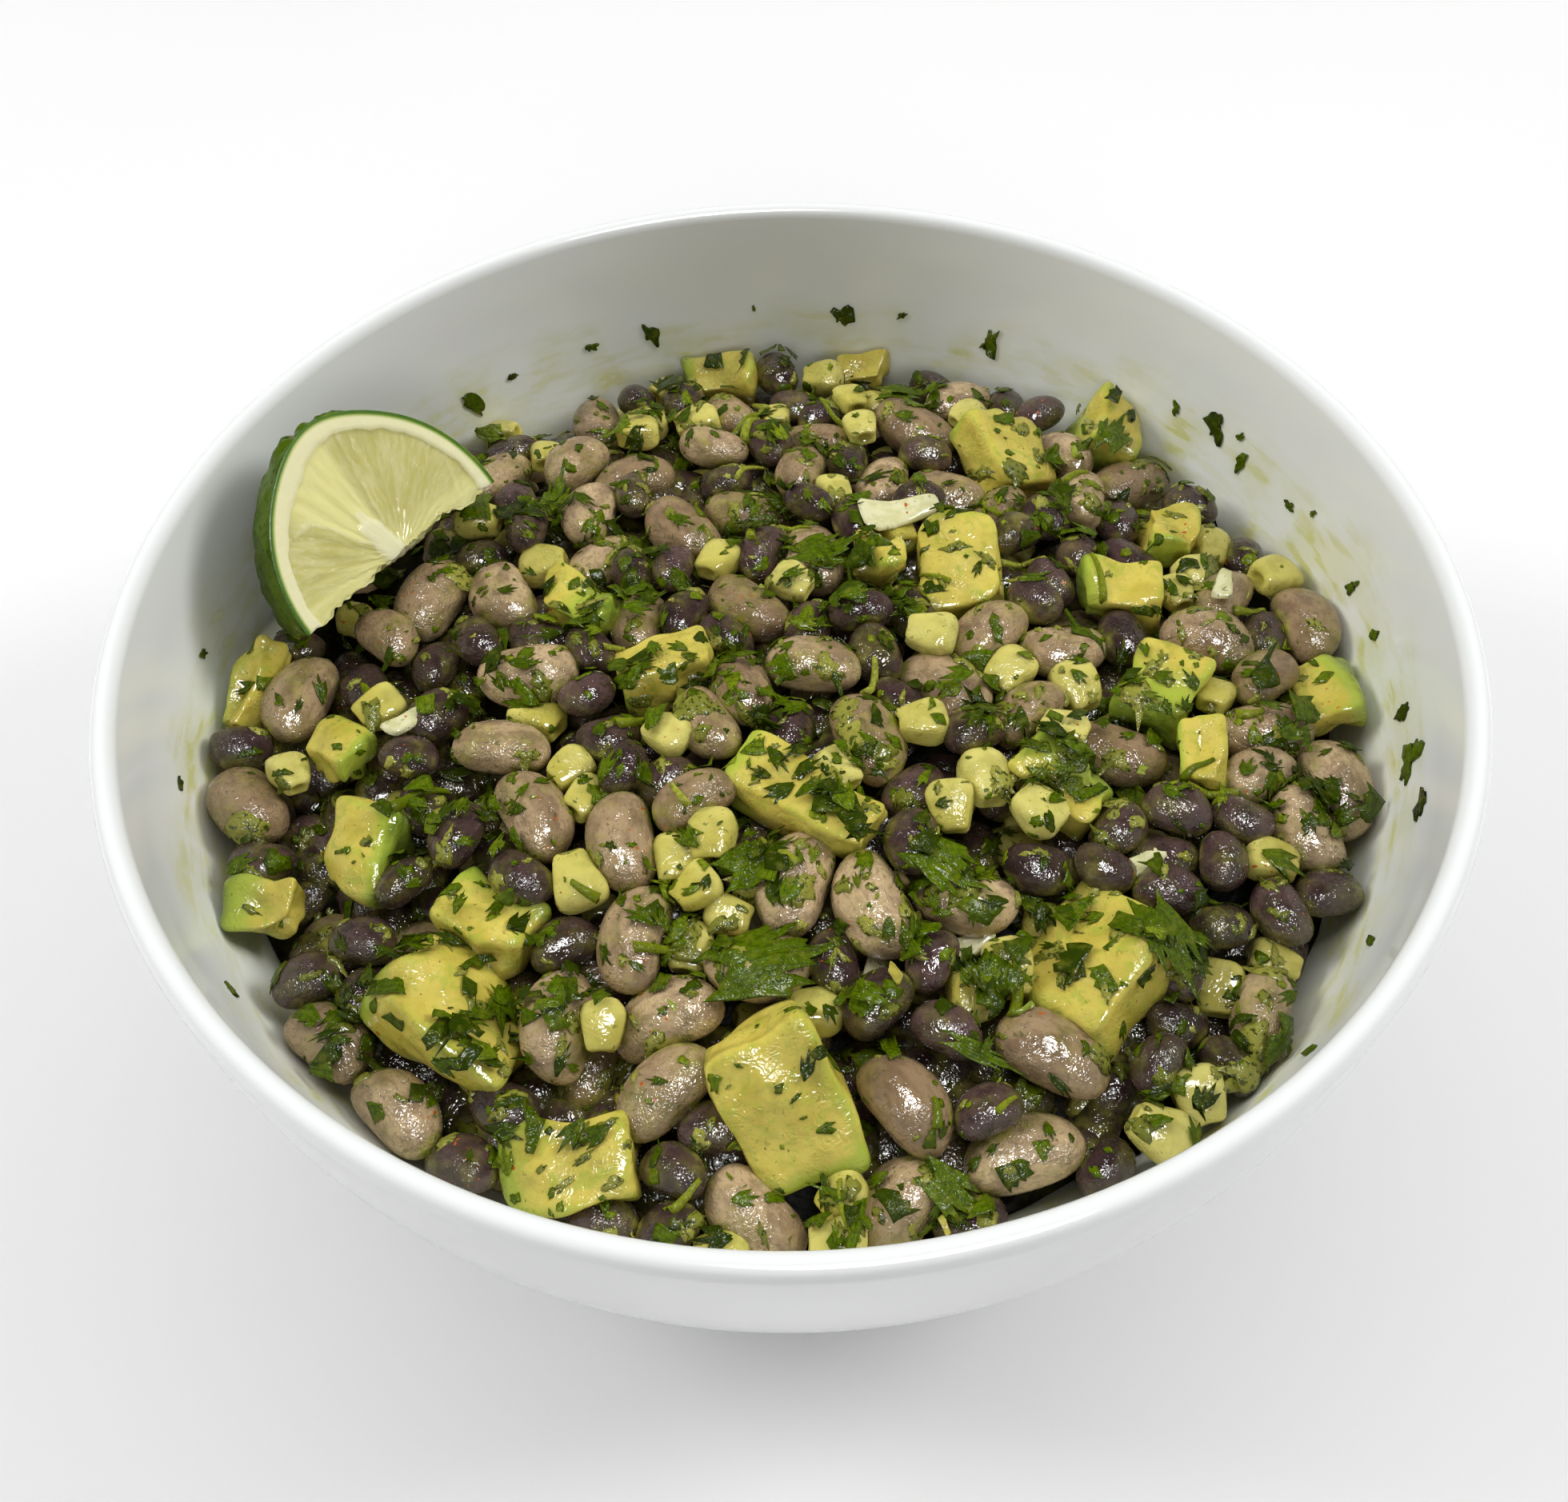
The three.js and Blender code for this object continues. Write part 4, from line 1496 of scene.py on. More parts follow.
@dataclass
class Bowl:
    """The round white bowl on its foot ring."""

    shape: BowlShape
    surface: SaladSurface
    sides: int = 180
    wall_steps: int = 30
    rim_steps: int = 10
    foot_edge: float = 0.9
    foot_taper: float = 1.0

    def build(self) -> None:
        """Spins the bowl's profile, rounds its foot and glazes it."""
        bowl = spun(self._profile(), self.sides)
        foot = [
            edge for edge in bowl.edges
            if max(vert.co.z for vert in edge.verts) < MERGE
            and abs(edge.verts[0].co.xy.length - edge.verts[1].co.xy.length) < self.foot_taper / 2
        ]
        bmesh.ops.bevel(
            bowl, geom=foot, offset=self.foot_edge, affect="EDGES", segments=3, profile=0.5, material=-1
        )
        inner = bowl.verts.layers.float.new("inner")
        for vert in bowl.verts:
            vert[inner] = float(vert.co.xy.length < self.shape.inside(vert.co.z) + WALL_GAP)
        bmesh.ops.scale(bowl, verts=bowl.verts, vec=(METRES,) * 3)
        dressed(meshed("bowl_glazed", bowl), "bowl", "bowl", Glaze(self.surface).material())

    def _profile(self) -> list[tuple[float, float]]:
        """The half outline as radius and height, from the underside's middle to the inside's.

        Returns:
            Its points, in order.
        """
        shape = self.shape
        outer = shape.wall_points(shape.rim_radius, shape.outer_depth, self.wall_steps)
        inner = shape.wall_points(shape.inner_radius, shape.inner_depth, self.wall_steps)
        foot = [
            (shape.foot_inner, shape.underside(shape.foot_inner)),
            (shape.foot_inner + self.foot_taper, 0.0),
            (shape.foot_outer - self.foot_taper, 0.0),
            (shape.foot_outer, shape.underside(shape.foot_outer)),
        ]
        middle = (shape.rim_radius + shape.inner_radius) / 2
        angles = [math.pi * step / self.rim_steps for step in range(1, self.rim_steps)]
        rim = [
            (middle + shape.wall / 2 * math.cos(angle), shape.rim_height + shape.rim_crown * math.sin(angle))
            for angle in angles
        ]
        under = [point for point in outer if point[0] < shape.foot_inner - self.foot_taper]
        side = [point for point in outer if point[0] > shape.foot_outer + self.foot_taper]
        return under + foot + side + rim + inner[::-1]


@dataclass
class Core:
    """The mass under the loose pieces, dressed and painted near-black as the shade in their gaps, closed
    along the bowl's wall.
    """

    bowl: BowlShape
    surface: SaladSurface
    drop: float = 15.0
    floor: float = 12.0
    rings: int = 26
    wall_rings: int = 10
    sides: int = 96
    lump: float = 1.6
    lump_length: float = 14.0

    def build(self) -> Pile:
        """Makes the core.

        Returns:
            The pile.
        """
        spots = [(0.0, 0.0)]
        spots += [(1.0, ring / self.wall_rings) for ring in range(self.wall_rings + 1)]
        spots += [(1 - ring / self.rings, 1.0) for ring in range(1, self.rings + 1)]
        form = Form.of(spun(spots, self.sides))
        pile = Pile(self.bowl)
        pile.add(self._filled(form.points), form.triangles)
        return pile.build("salad_core", MashFinish().material())

    def _filled(self, spots: Array) -> Array:
        """Fills the bowl.

        Args:
            spots: Points as shares of the salad's width and height.

        Returns:
            Points inside the bowl.
        """
        across = np.hypot(spots[:, 0], spots[:, 1])
        heading = spots[:, :2] / np.maximum(across, NEAR_ZERO)[:, None]
        widest = self.bowl.inside(self.surface.at_wall - self.drop) - WALL_GAP
        plan = heading * (across * widest)[:, None]
        top = self.surface.height(plan[:, 0], plan[:, 1]) - self.drop
        top += self.lump * Unevenness(11, self.lump_length).at(np.column_stack([plan, top]))
        height = self.floor + spots[:, 2] * (top - self.floor)
        ring = np.where(across > 1 - NEAR_ZERO, self.bowl.inside(height) - WALL_GAP, across * widest)
        return np.column_stack([heading * ring[:, None], height])


class Loose:
    """A kind of small food, all its pieces joined in one: fine ones that show, and coarse ones below."""

    name: str
    food: Food
    skin: BeanSkin | KernelSkin
    seed: int

    def build(self, heap: Heap) -> Pile:
        """Shapes every piece of the kind where it lies.

        Args:
            heap: The settled pieces.

        Returns:
            The pile of them.
        """
        draw = np.random.default_rng(self.seed)
        pile = Pile(heap.bowl)
        for pieces, form in zip((heap.pieces, heap.below), self.forms()):
            for piece in pieces:
                if piece.food is self.food:
                    body, own = self.shaped(form.points, draw)
                    points = piece.placed(body * piece.size / 2)
                    near = heap.nearness(piece, points)
                    pile.add(points, form.triangles, tone=draw.random(), own=own, near=near)
        return pile.build(self.name, self.skin.material())


@dataclass
class Beans(Loose):
    """One kind of bean: kidney-shaped, blunt at its ends, a little uneven, pressed and seamed."""

    name: str
    food: Food
    skin: BeanSkin
    sides: tuple[int, int]
    sides_below: tuple[int, int]
    kidney: float = 0.12
    blunt: float = 2.5
    seed: int = 11
    lump: float = 0.035
    crush: float = 0.1
    crush_width: float = math.sqrt(0.28)
    seam: float = 0.1

    def forms(self) -> tuple[Form, Form]:
        """What the showing beans and those below are shaped from."""
        return Form.ball(*self.sides), Form.ball(*self.sides_below)

    def shaped(self, ball: Array, draw: Draw) -> tuple[Array, Array]:
        """Shapes one bean.

        Args:
            ball: Points of a unit ball.
            draw: Numbers that vary it.

        Returns:
            The bean's points, and their own places, which its pattern follows.
        """
        along = ball[:, 0]
        thin = np.sqrt(np.maximum(1 - along**2, 0))
        plump = np.maximum(1 - np.abs(along) ** self.blunt, 0) ** (1 / 2.1)
        fuller = np.where(thin > 0.05, plump / np.maximum(thin, 0.05), 1)
        swell = 1 + self.lump * Unevenness.drawn(draw, 2.2, 6).at(ball)
        body = ball * np.column_stack([np.ones_like(along), fuller, fuller]) * swell[:, None]
        dent_at = unit(draw.normal(size=3) + np.array([0, -0.6, 0.6]))
        body *= 1 - (self.crush * draw.random() * dome(ball, dent_at, self.crush_width))[:, None]
        seam = np.exp(-(along**2) / 0.05 - (ball[:, 2] ** 2) / 0.03) * (ball[:, 1] < 0)
        body[:, 1] += self.seam * seam + self.kidney * (1 - 2 * along**2)
        return body, ball + draw.uniform(0, 40, 3)


@dataclass
class Kernels(Loose):
    """Sweetcorn cut from the cob: a rounded crown that narrows to a hollow cut end."""

    name: str = "sweetcorn_kernels"
    food: Food = Food.CORN
    skin: KernelSkin = KernelSkin()
    cuts: int = 6
    cuts_below: int = 3
    seed: int = 5
    crown_roundness: float = 3.1
    cut_roundness: float = 5.5
    narrow: float = 0.7
    hollow: float = 0.3
    dimple: float = 0.1
    lump: float = 0.03

    def forms(self) -> tuple[Form, Form]:
        """What the showing kernels and those below are shaped from."""
        return Form.of(gridded_cube(self.cuts)), Form.of(gridded_cube(self.cuts_below))

    def shaped(self, block: Array, draw: Draw) -> tuple[Array, Array]:
        """Shapes one kernel.

        Args:
            block: Points of a gridded cube.
            draw: Numbers that vary it.

        Returns:
            The kernel's points, and their own places, which its pattern follows.
        """
        along = block[:, 0]
        power = self.cut_roundness + (self.crown_roundness - self.cut_roundness) * ramp(along, -1, 1)
        body = block / ((np.abs(block) ** power[:, None]).sum(1) ** (1 / power))[:, None]
        taper = self.narrow + (1 - self.narrow) * ramp(along, -1.1, 0.5)
        body[:, 1] *= taper * (1 + draw.uniform(-0.1, 0.1) * along)
        body[:, 2] *= taper
        middle = dome(block[:, 1:], np.zeros(2), 0.5)
        dimple = self.dimple * draw.random() * middle * ramp(along, 0.6, 1.0)
        body[:, 0] += self.hollow * middle * (along < -0.99) - dimple
        body[:, 1] += draw.uniform(-0.12, 0.12) * (1 - along**2)
        body *= (1 + self.lump * Unevenness.drawn(draw, 2.4, 5).at(block))[:, None]
        body[:, 0] = body[:, 0] * 0.94 + 0.08
        return body, block


@dataclass
class AvocadoCubes:
    """Hand-cut cubes of avocado with worn corners, knife facets and a green side, and their crumbs."""

    cuts: int = 18
    crumb_cuts: int = 5
    crumbs: int = 34
    crumb_reach: float = 104.0
    crumb_seed: int = 77
    smoothing: int = 9
    scoop: float = 1.9
    scoops: int = 5
    nick: float = 2.5
    nicks: int = 9

    def build(self, heap: Heap, blanket: Blanket) -> Pile:
        """Shapes the cubes where they lie, then strews crumbs on what is around them.

        Args:
            heap: The settled pieces.
            blanket: What lies on the beans and kernels.

        Returns:
            The pile of cubes and crumbs.
        """
        pile = Pile(heap.bowl)
        cubes = [piece for piece in heap.pieces if piece.food is Food.AVOCADO]
        for number, (cube, piece) in enumerate(zip(AVOCADO_CUBES, cubes)):
            form = self._cube(self.cuts, piece.size, number)
            share = form.points / (piece.size / 2)
            peel = ramp(share @ unit(np.array(cube.peel.value)), 1.0 - 1.7 * cube.green, 1.25)
            peel += 0.3 * ramp(np.sort(np.abs(share), axis=1)[:, 1], 0.62, 0.95)
            points = piece.placed(form.points)
            pile.add(points, form.triangles, peel=peel, near=heap.nearness(piece, points))
        self._strew(pile, heap.surface, blanket)
        return pile.build("avocado_cubes", AvocadoFlesh().material())

    def _cube(self, cuts: int, size: Array, number: int) -> Form:
        """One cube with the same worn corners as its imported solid, its faces hollowed by the knife.

        Args:
            cuts: The cuts across each edge.
            size: Length, width and thickness.
            number: What its unevenness is drawn from.

        Returns:
            Its form.
        """
        draw = SeededDraw(SEED + number)
        shape = gridded_cube(cuts)
        grid = np.array([vert.co[:] for vert in shape.verts])
        body = np.zeros_like(grid)
        planes = []
        for sign in product((-1, 1), repeat=3):
            wear = 0.24 + 0.12 * draw.random()
            corner = np.array(sign) * [1 - 0.16 * draw.random() for _ in range(3)]
            body += np.prod((1 + grid * sign) / 2, axis=1)[:, None] * corner
            cut = [corner * np.where(np.arange(3) == axis, 1 - wear, 1) for axis in range(3)]
            normal = unit(np.cross(cut[1] - cut[0], cut[2] - cut[0]))
            normal *= np.sign(normal @ corner)
            planes.append((cut[0] @ normal, normal))
        for level, normal in planes:
            body -= np.maximum(body @ normal - level, 0)[:, None] * normal
        body *= size / 2
        self._hollow(body, size, number)
        for vert, place in zip(shape.verts, body):
            vert.co = place
        for _ in range(self.smoothing):
            bmesh.ops.smooth_vert(
                shape, verts=shape.verts, factor=0.5, use_axis_x=True, use_axis_y=True, use_axis_z=True
            )
        return Form.of(shape)

    def _hollow(self, body: Array, size: Array, number: int) -> None:
        """Presses scoops, nicks and a soft unevenness into a cube's faces.

        Args:
            body: The cube's points, which are changed.
            size: Its length, width and thickness.
            number: What the marks are drawn from.
        """
        draw = np.random.default_rng(SEED + number)
        outward = unit(body / size)
        depth = 0.9 * Unevenness(SEED + number, 14.0).at(body)
        depth += 0.38 * Unevenness(SEED - number, 5.0).at(body * np.array([0.6, 1.4, 1.0]))
        for _ in range(self.scoops):
            spot = body[int(draw.integers(len(body)))]
            wide = draw.uniform(2.5, 7.5)
            depth -= self.scoop * draw.uniform(0.5, 1.4) * dome(body, spot, wide)
        reach = np.linalg.norm(body / size, axis=1)
        edges = np.flatnonzero(reach > np.quantile(reach, 0.8))
        for _ in range(self.nicks):
            spot = body[int(draw.choice(edges))]
            wide = draw.uniform(1.4, 3.0)
            depth -= self.nick * draw.random() * dome(body, spot, wide)
        body += outward * (depth * min(1.0, size.min() / 10))[:, None]

    def _strew(self, pile: Pile, surface: SaladSurface, blanket: Blanket) -> None:
        """Lays crumbs of avocado in the dips of the heap.

        Args:
            pile: What they are added to.
            surface: The salad's surface.
            blanket: What lies on the beans and kernels.
        """
        draw = np.random.default_rng(self.crumb_seed)
        for number in range(self.crumbs):
            spot = strewn(draw, self.crumb_reach)
            found = blanket.above(*spot)
            if found is None or found[0][2] > surface.height(*spot) - 1.5:
                continue
            size = draw.uniform(3.5, 8.0) * np.array([1.0, draw.uniform(0.6, 0.9), draw.uniform(0.4, 0.7)])
            form = self._cube(self.crumb_cuts, size, 100 + number)
            points = tumbled(form.points, draw.random() * 6.28, draw.normal() * 0.4)
            points += np.array([*spot, found[0][2] + size[2] * 0.3])
            pile.add(points, form.triangles, peel=float(draw.choice([0.0, 0.3, 0.8])), near=0.6)


@dataclass
class Blanket:
    """What lies over the food: it lays points of thin things on the beans, kernels and cubes."""

    around: BVHTree
    reach: float = 4.0
    clear: float = 0.08

    @classmethod
    def over(cls, piles: list[Pile]) -> Blanket:
        """The blanket over several piles.

        Args:
            piles: The piles.

        Returns:
            The blanket.
        """
        starts = np.cumsum([0] + [pile.count for pile in piles])
        points = np.concatenate([part for pile in piles for part in pile.points])
        triangles = [part + start for pile, start in zip(piles, starts) for part in pile.triangles]
        return cls(BVHTree.FromPolygons(points.tolist(), np.concatenate(triangles).tolist()))

    def met(self, start: Array, way: Array) -> tuple[Array, Array] | None:
        """Where a line from a start meets the heap, and which way it faces there."""
        place, normal, _, _ = self.around.ray_cast(Vector(start), Vector(way))
        return None if place is None else (np.array(place), np.array(normal))

    def above(self, x: float, y: float) -> tuple[Array, Array] | None:
        """Where a line straight down meets the heap, and which way it faces there."""
        return self.met((x, y, SKY), (0, 0, -1))

    def draped(self, plan: Array, slope: float = 0.45) -> Array:
        """Heights at which something soft lies.

        Args:
            plan: Places in the plan.
            slope: How steeply it can fall away.

        Returns:
            Its height over each.
        """
        found = [self.above(x, y) for x, y in plan]
        hits = np.array([hit[0][2] if hit else -1.0 for hit in found])
        apart = np.linalg.norm(plan[:, None] - plan[None], axis=2)
        return (hits[None, :] - slope * apart).max(1)

    def stuck(
        self, local: Array, at: Array, out: Array, spin: float, offsets: Array, pull: float
    ) -> Array:
        """Sticks something thin to the food: none of it goes in, and what is above sinks towards it.

        Args:
            local: Its points, flat on X and Y.
            at: Where its middle goes.
            out: Way out of the food there.
            spin: The angle that it is turned by.
            offsets: How far each point lies off its laid place, in millimetres.
            pull: How far those above the food sink, as a share of their height.

        Returns:
            The laid points.
        """
        helper = np.array([1.0, 0, 0]) if abs(out[0]) < 0.8 else np.array([0, 1.0, 0])
        first = unit(np.cross(out, helper))
        side = first * math.cos(spin) + np.cross(out, first) * math.sin(spin)
        points = local[:, :1] * side + local[:, 1:2] * np.cross(out, side) + local[:, 2:3] * out + at
        laid = points + out * offsets[:, None]
        for number, point in enumerate(points):
            nearest, facing, _, _ = self.around.find_nearest(Vector(point), self.reach)
            if nearest is not None:
                height = (Vector(point) - nearest).dot(facing)
                laid[number] = nearest + facing * (max(height * (1 - pull), self.clear) + offsets[number])
        return laid


def blotch(sheet: Array, draw: Draw, ragged: float) -> tuple[Array, Array]:
    """Turns a square sheet into a round one with an uneven edge.

    Args:
        sheet: Its points.
        draw: Numbers that vary it.
        ragged: How uneven the edge is, in shares of its radius.

    Returns:
        Its outline in the plane, and how near each point is to the middle, from 0 to 1.
    """
    disc = sheet[:, :2] * np.sqrt(1 - sheet[:, 1::-1] ** 2 / 2)
    edge = 1 + ragged * Unevenness.drawn(draw, 1.3, 5).at(sheet * [1, 1, 0])
    return disc * edge[:, None], np.maximum(1 - (disc**2).sum(1), 0)


@dataclass(frozen=True)
class Fan:
    """A leaf's toothed fan: its teeth, half its opening angle, their depth, and where its stem end is cut."""

    teeth: float
    spread: float
    depth: float
    cut: float

    def outline(self, sheet: Array) -> Array:
        """Turns a sheet into the fan.

        Args:
            sheet: Its points.

        Returns:
            Their places in the plane.
        """
        along = self.cut + (1 - self.cut) * (sheet[:, 0] + 1) / 2
        across = sheet[:, 1]
        lobes = 0.5 + 0.5 * np.cos(across * 2.4 * math.pi)
        notches = self.depth * zigzag(across * self.teeth + 0.5) + 0.13 * (1 - lobes)
        reach = along * (1 - ramp(along, 0.35, 1.0) * notches - 0.1 * across**2)
        first = self.cut * math.cos(self.spread)
        forward = (reach * np.cos(across * self.spread) - first) / (1 - first) * 2 - 1
        return np.column_stack([forward, reach * np.sin(across * self.spread) / math.sin(self.spread)])

    def ribs(self, sheet: Array) -> Array:
        """Shares of 1 on the ribs, which run out to the teeth."""
        return 1 - zigzag(sheet[:, 1] * self.teeth + 0.5)


@dataclass
class Coriander:
    """Chopped coriander: showing leaves, scraps in clumps, flecks stuck to the food, and stems."""

    bowl: BowlShape
    blanket: Blanket
    leaf: Fan = Fan(3.0, 0.6, 0.13, 0.5)
    scrap: Fan = Fan(1.5, 0.85, 0.25, 0.1)
    thickness: float = 0.17
    scraps: int = 440
    scraps_a_clump: int = 15
    clump_spread: float = 4.6
    scrap_reach: float = 107.0
    flecks: int = 1550
    fleck_reach: float = 110.0
    stems: int = 30
    stem_reach: float = 98.0

    def build(self) -> None:
        """Makes the leaves, the scraps, the flecks and the stems."""
        green = LEAF_GREEN.material()
        self._leaves().build("coriander_leaves", green)
        self._scraps().build("coriander_scraps", green)
        self._flecks().build("coriander_flecks", green)
        self._stems().build("coriander_stems", STEM_GREEN.material())

    def _cut(self, sheet: Array, draw: Draw) -> Array:
        """Turns a sheet into a knife-cut scrap: four uneven sides, one of them toothed.

        Args:
            sheet: Its points.
            draw: Numbers that vary it.

        Returns:
            Their places in the plane.
        """
        angles = np.radians([225, 315, 45, 135]) + draw.normal(size=4) * 0.36
        corners = np.column_stack([np.cos(angles), np.sin(angles)]) * draw.uniform(0.65, 1.55, 4)[:, None]
        along, across = (sheet[:, :1] + 1) / 2, (sheet[:, 1:2] + 1) / 2
        near = corners[0] * (1 - along) + corners[1] * along
        far = corners[3] * (1 - along) + corners[2] * along
        flat = near * (1 - across) + far * across
        flat[:, 1:2] += (zigzag(along * 2.5 + draw.random()) - 0.5) * 0.5 * across**2
        flat[:, :1] += 0.25 * draw.normal() * across**2
        return flat

    def _leaves(self) -> Pile:
        """The leaves that stand out, draped over what is under them.

        Returns:
            The pile of them.
        """
        draw = np.random.default_rng(31)
        pile = Pile(self.bowl)
        form = Form.sheet(12, 32)
        ribs = self.leaf.ribs(form.points)
        for leaf in LEAVES:
            flat = self.leaf.outline(form.points) * np.array(leaf.size) / 2
            plan = rotated(flat, math.radians(leaf.turn)) + leaf.at
            height = 0.3 * Unevenness.drawn(draw, 6.0, 5).at(np.column_stack([plan, ribs]))
            height += self.blanket.draped(plan) + 0.35 + 0.16 * ribs * ramp(form.points[:, 0], -1, 1)
            height += form.points[:, 2] * self.thickness / 2
            points = np.column_stack([plan, height])
            pile.add(points, form.triangles, tone=draw.uniform(0.4, 0.66), vein=ribs)
        return pile

    def _scraps(self) -> Pile:
        """Scraps of leaf, heaped in clumps and strewn between them.

        Returns:
            The pile of them.
        """
        draw = np.random.default_rng(37)
        pile = Pile(self.bowl)
        form = Form.sheet(5, 6)
        for centre, layer in product(HERB_CLUMPS, range(self.scraps_a_clump)):
            at = np.array(centre) + draw.normal(size=2) * self.clump_spread
            self._add_scrap(pile, form, at, 0.12 * layer, draw)
        for _ in range(self.scraps):
            self._add_scrap(pile, form, strewn(draw, self.scrap_reach), 0.0, draw)
        return pile

    def _add_scrap(self, pile: Pile, form: Form, at: Array, raised: float, draw: Draw) -> None:
        """Adds one crumpled scrap of leaf, laid on the heap.

        Args:
            pile: What it is added to.
            form: The sheet that it is shaped from.
            at: Its place in the plan.
            raised: How far it lies above the food, on other scraps.
            draw: Numbers that vary it.
        """
        found = self.blanket.above(*at)
        if found is None or np.hypot(*at) > self.bowl.inner_radius - 6:
            return
        length = 3.0 + draw.gamma(2.2, 1.1)
        width = length * draw.uniform(0.45, 0.9)
        toothed = draw.random() < 0.6
        flat = self.scrap.outline(form.points) if toothed else self._cut(form.points, draw)
        flat = flat * np.array([length, width]) / 2
        rise = draw.uniform(-0.5, 0.9) * (flat[:, 0] / length) ** 2 * length
        rise += draw.uniform(-0.5, 0.5) * np.abs(flat[:, 1])
        rise += 0.45 * Unevenness.drawn(draw, 4.5, 4).at(np.column_stack([flat, rise]))
        lean = unit(found[1] * 0.8 + np.array([0, 0, 0.6]) + draw.normal(size=3) * 0.22)
        offsets = raised + 0.1 + form.points[:, 2] * self.thickness / 2
        spin, pull = draw.random() * FULL_TURN, draw.uniform(0.5, 0.95)
        local = np.column_stack([flat, rise])
        points = self.blanket.stuck(local, found[0] + lean * 0.6, lean, spin, offsets, pull)
        pile.add(points, form.triangles, tone=float(draw.beta(1.6, 2.8)), vein=self.scrap.ribs(form.points))

    def _flecks(self) -> Pile:
        """Small flecks that cling to the food, and the flakes on the bowl's wall.

        Returns:
            The pile of them.
        """
        draw = np.random.default_rng(53)
        pile = Pile()
        form = Form.sheet(3, 3)
        thick = Unevenness(12, 34.0)
        for _ in range(self.flecks):
            start = np.array([*strewn(draw, self.fleck_reach), 90])
            if thick.at(start[None, :])[0] < draw.normal() * 0.7 - 0.3:
                continue
            lean = unit(np.array([*(draw.normal(size=2) * 0.5), -1.0]))
            found = self.blanket.met(start - lean * 6, lean)
            if found is None or found[1][2] < -0.2:
                continue
            length = 0.7 + draw.gamma(1.6, 0.75)
            width = length * draw.uniform(0.3, 0.9)
            knife_cut = draw.random() < 0.15
            shape = self._cut(form.points, draw) if knife_cut else blotch(form.points, draw, 0.4)[0]
            local = np.column_stack([shape * np.array([length, width]) / 2, np.zeros(len(shape))])
            offsets = 0.06 + form.points[:, 2] * self.thickness * 0.4
            points = self.blanket.stuck(local, *found, draw.random() * FULL_TURN, offsets, 1.0)
            pile.add(points, form.triangles, tone=float(draw.beta(2.2, 1.9)), vein=0.0)
        for azimuth, height, length in WALL_FLAKES:
            self._add_wall_flake(pile, math.radians(azimuth), height, length, draw)
        return pile

    def _add_wall_flake(self, pile: Pile, azimuth: float, height: float, length: float, draw: Draw) -> None:
        """Adds one flake that clings to the bowl's inner wall.

        Args:
            pile: What it is added to.
            azimuth: Its direction from the bowl's middle.
            height: Its height.
            length: Its length.
            draw: Numbers that vary it.
        """
        form = Form.sheet(5, 6)
        flat = blotch(form.points, draw, 0.5)[0] * np.array([length, length * 0.6]) / 2
        sideways, upwards = rotated(flat, draw.random() * math.pi).T
        ring = self.bowl.inside(height + upwards) - 0.12 - self.thickness * (1 + form.points[:, 2])
        angle = azimuth + sideways / ring
        points = np.column_stack([ring * np.cos(angle), ring * np.sin(angle), height + upwards])
        pile.add(points, form.triangles, tone=float(draw.uniform(0.1, 0.5)), vein=0.0)

    def _stems(self) -> Pile:
        """Cut lengths of stem, bent over what they lie on.

        Returns:
            The pile of them.
        """
        draw = np.random.default_rng(67)
        pile = Pile(self.bowl)
        rod = Form.rod(6, 6)
        share = rod.points[:, 0]
        for _ in range(self.stems):
            middle = strewn(draw, self.stem_reach)
            length, radius = draw.uniform(4, 11), draw.uniform(0.5, 1.05)
            heading = draw.random() * math.pi
            bow = draw.uniform(-0.15, 0.15) * length
            plan = middle + rotated(np.column_stack([share * length / 2, bow * (1 - share**2)]), heading)
            height = self.blanket.draped(plan, 0.6) + radius * 0.3
            wide = radius * (1 - 0.3 * share)
            plan += np.outer(rod.points[:, 1] * wide, rotated(np.array([0.0, 1.0]), heading))
            points = np.column_stack([plan, height + rod.points[:, 2] * wide])
            pile.add(points, rod.triangles, tone=draw.random(), vein=0.0)
        return pile


@dataclass
class Smears:
    """Creamy smears of crushed avocado that cling to the food, most of all in its dips."""

    bowl: BowlShape
    blanket: Blanket
    surface: SaladSurface
    count: int = 640
    reach: float = 109.0
    clump_count: int = 6
    clump_spread: float = 4.5

    def build(self) -> None:
        """Makes the smears."""
        draw = np.random.default_rng(71)
        pile = Pile(self.bowl)
        form = Form.sheet(6, 5)
        for centre, _ in product(HERB_CLUMPS, range(self.clump_count)):
            self._add(pile, form, np.array(centre) + draw.normal(size=2) * self.clump_spread, draw)
        for _ in range(self.count):
            self._add(pile, form, strewn(draw, self.reach), draw)
        pile.build("creamy_smears", DressingFinish().material())

    def _add(self, pile: Pile, form: Form, at: Array, draw: Draw) -> None:
        """Adds one smear: a low dome with an uneven edge, moulded to what it lies on.

        Args:
            pile: What it is added to.
            form: The sheet that it is shaped from.
            at: Its place in the plan.
            draw: Numbers that vary it.
        """
        found = self.blanket.above(*at)
        if found is None or found[0][2] > self.surface.height(*at) - draw.uniform(-1.5, 3.0):
            return
        length = 1.4 + draw.gamma(1.7, 1.2)
        width = length * draw.uniform(0.3, 0.8)
        shape, rise = blotch(form.points, draw, 0.4)
        lumps = 1 + 0.35 * Unevenness.drawn(draw, 1.1, 5).at(form.points)
        thick = draw.uniform(0.15, 0.55) * min(1.0, length / 3)
        offsets = np.where(form.points[:, 2] > 0, 0.04 + thick * rise**0.6 * lumps, -0.12)
        local = np.column_stack([shape * np.array([length, width]) / 2, np.zeros(len(shape))])
        points = self.blanket.stuck(local, *found, draw.random() * FULL_TURN, offsets, 0.9)
        pile.add(points, form.triangles, tone=float(draw.beta(1.6, 1.8)))


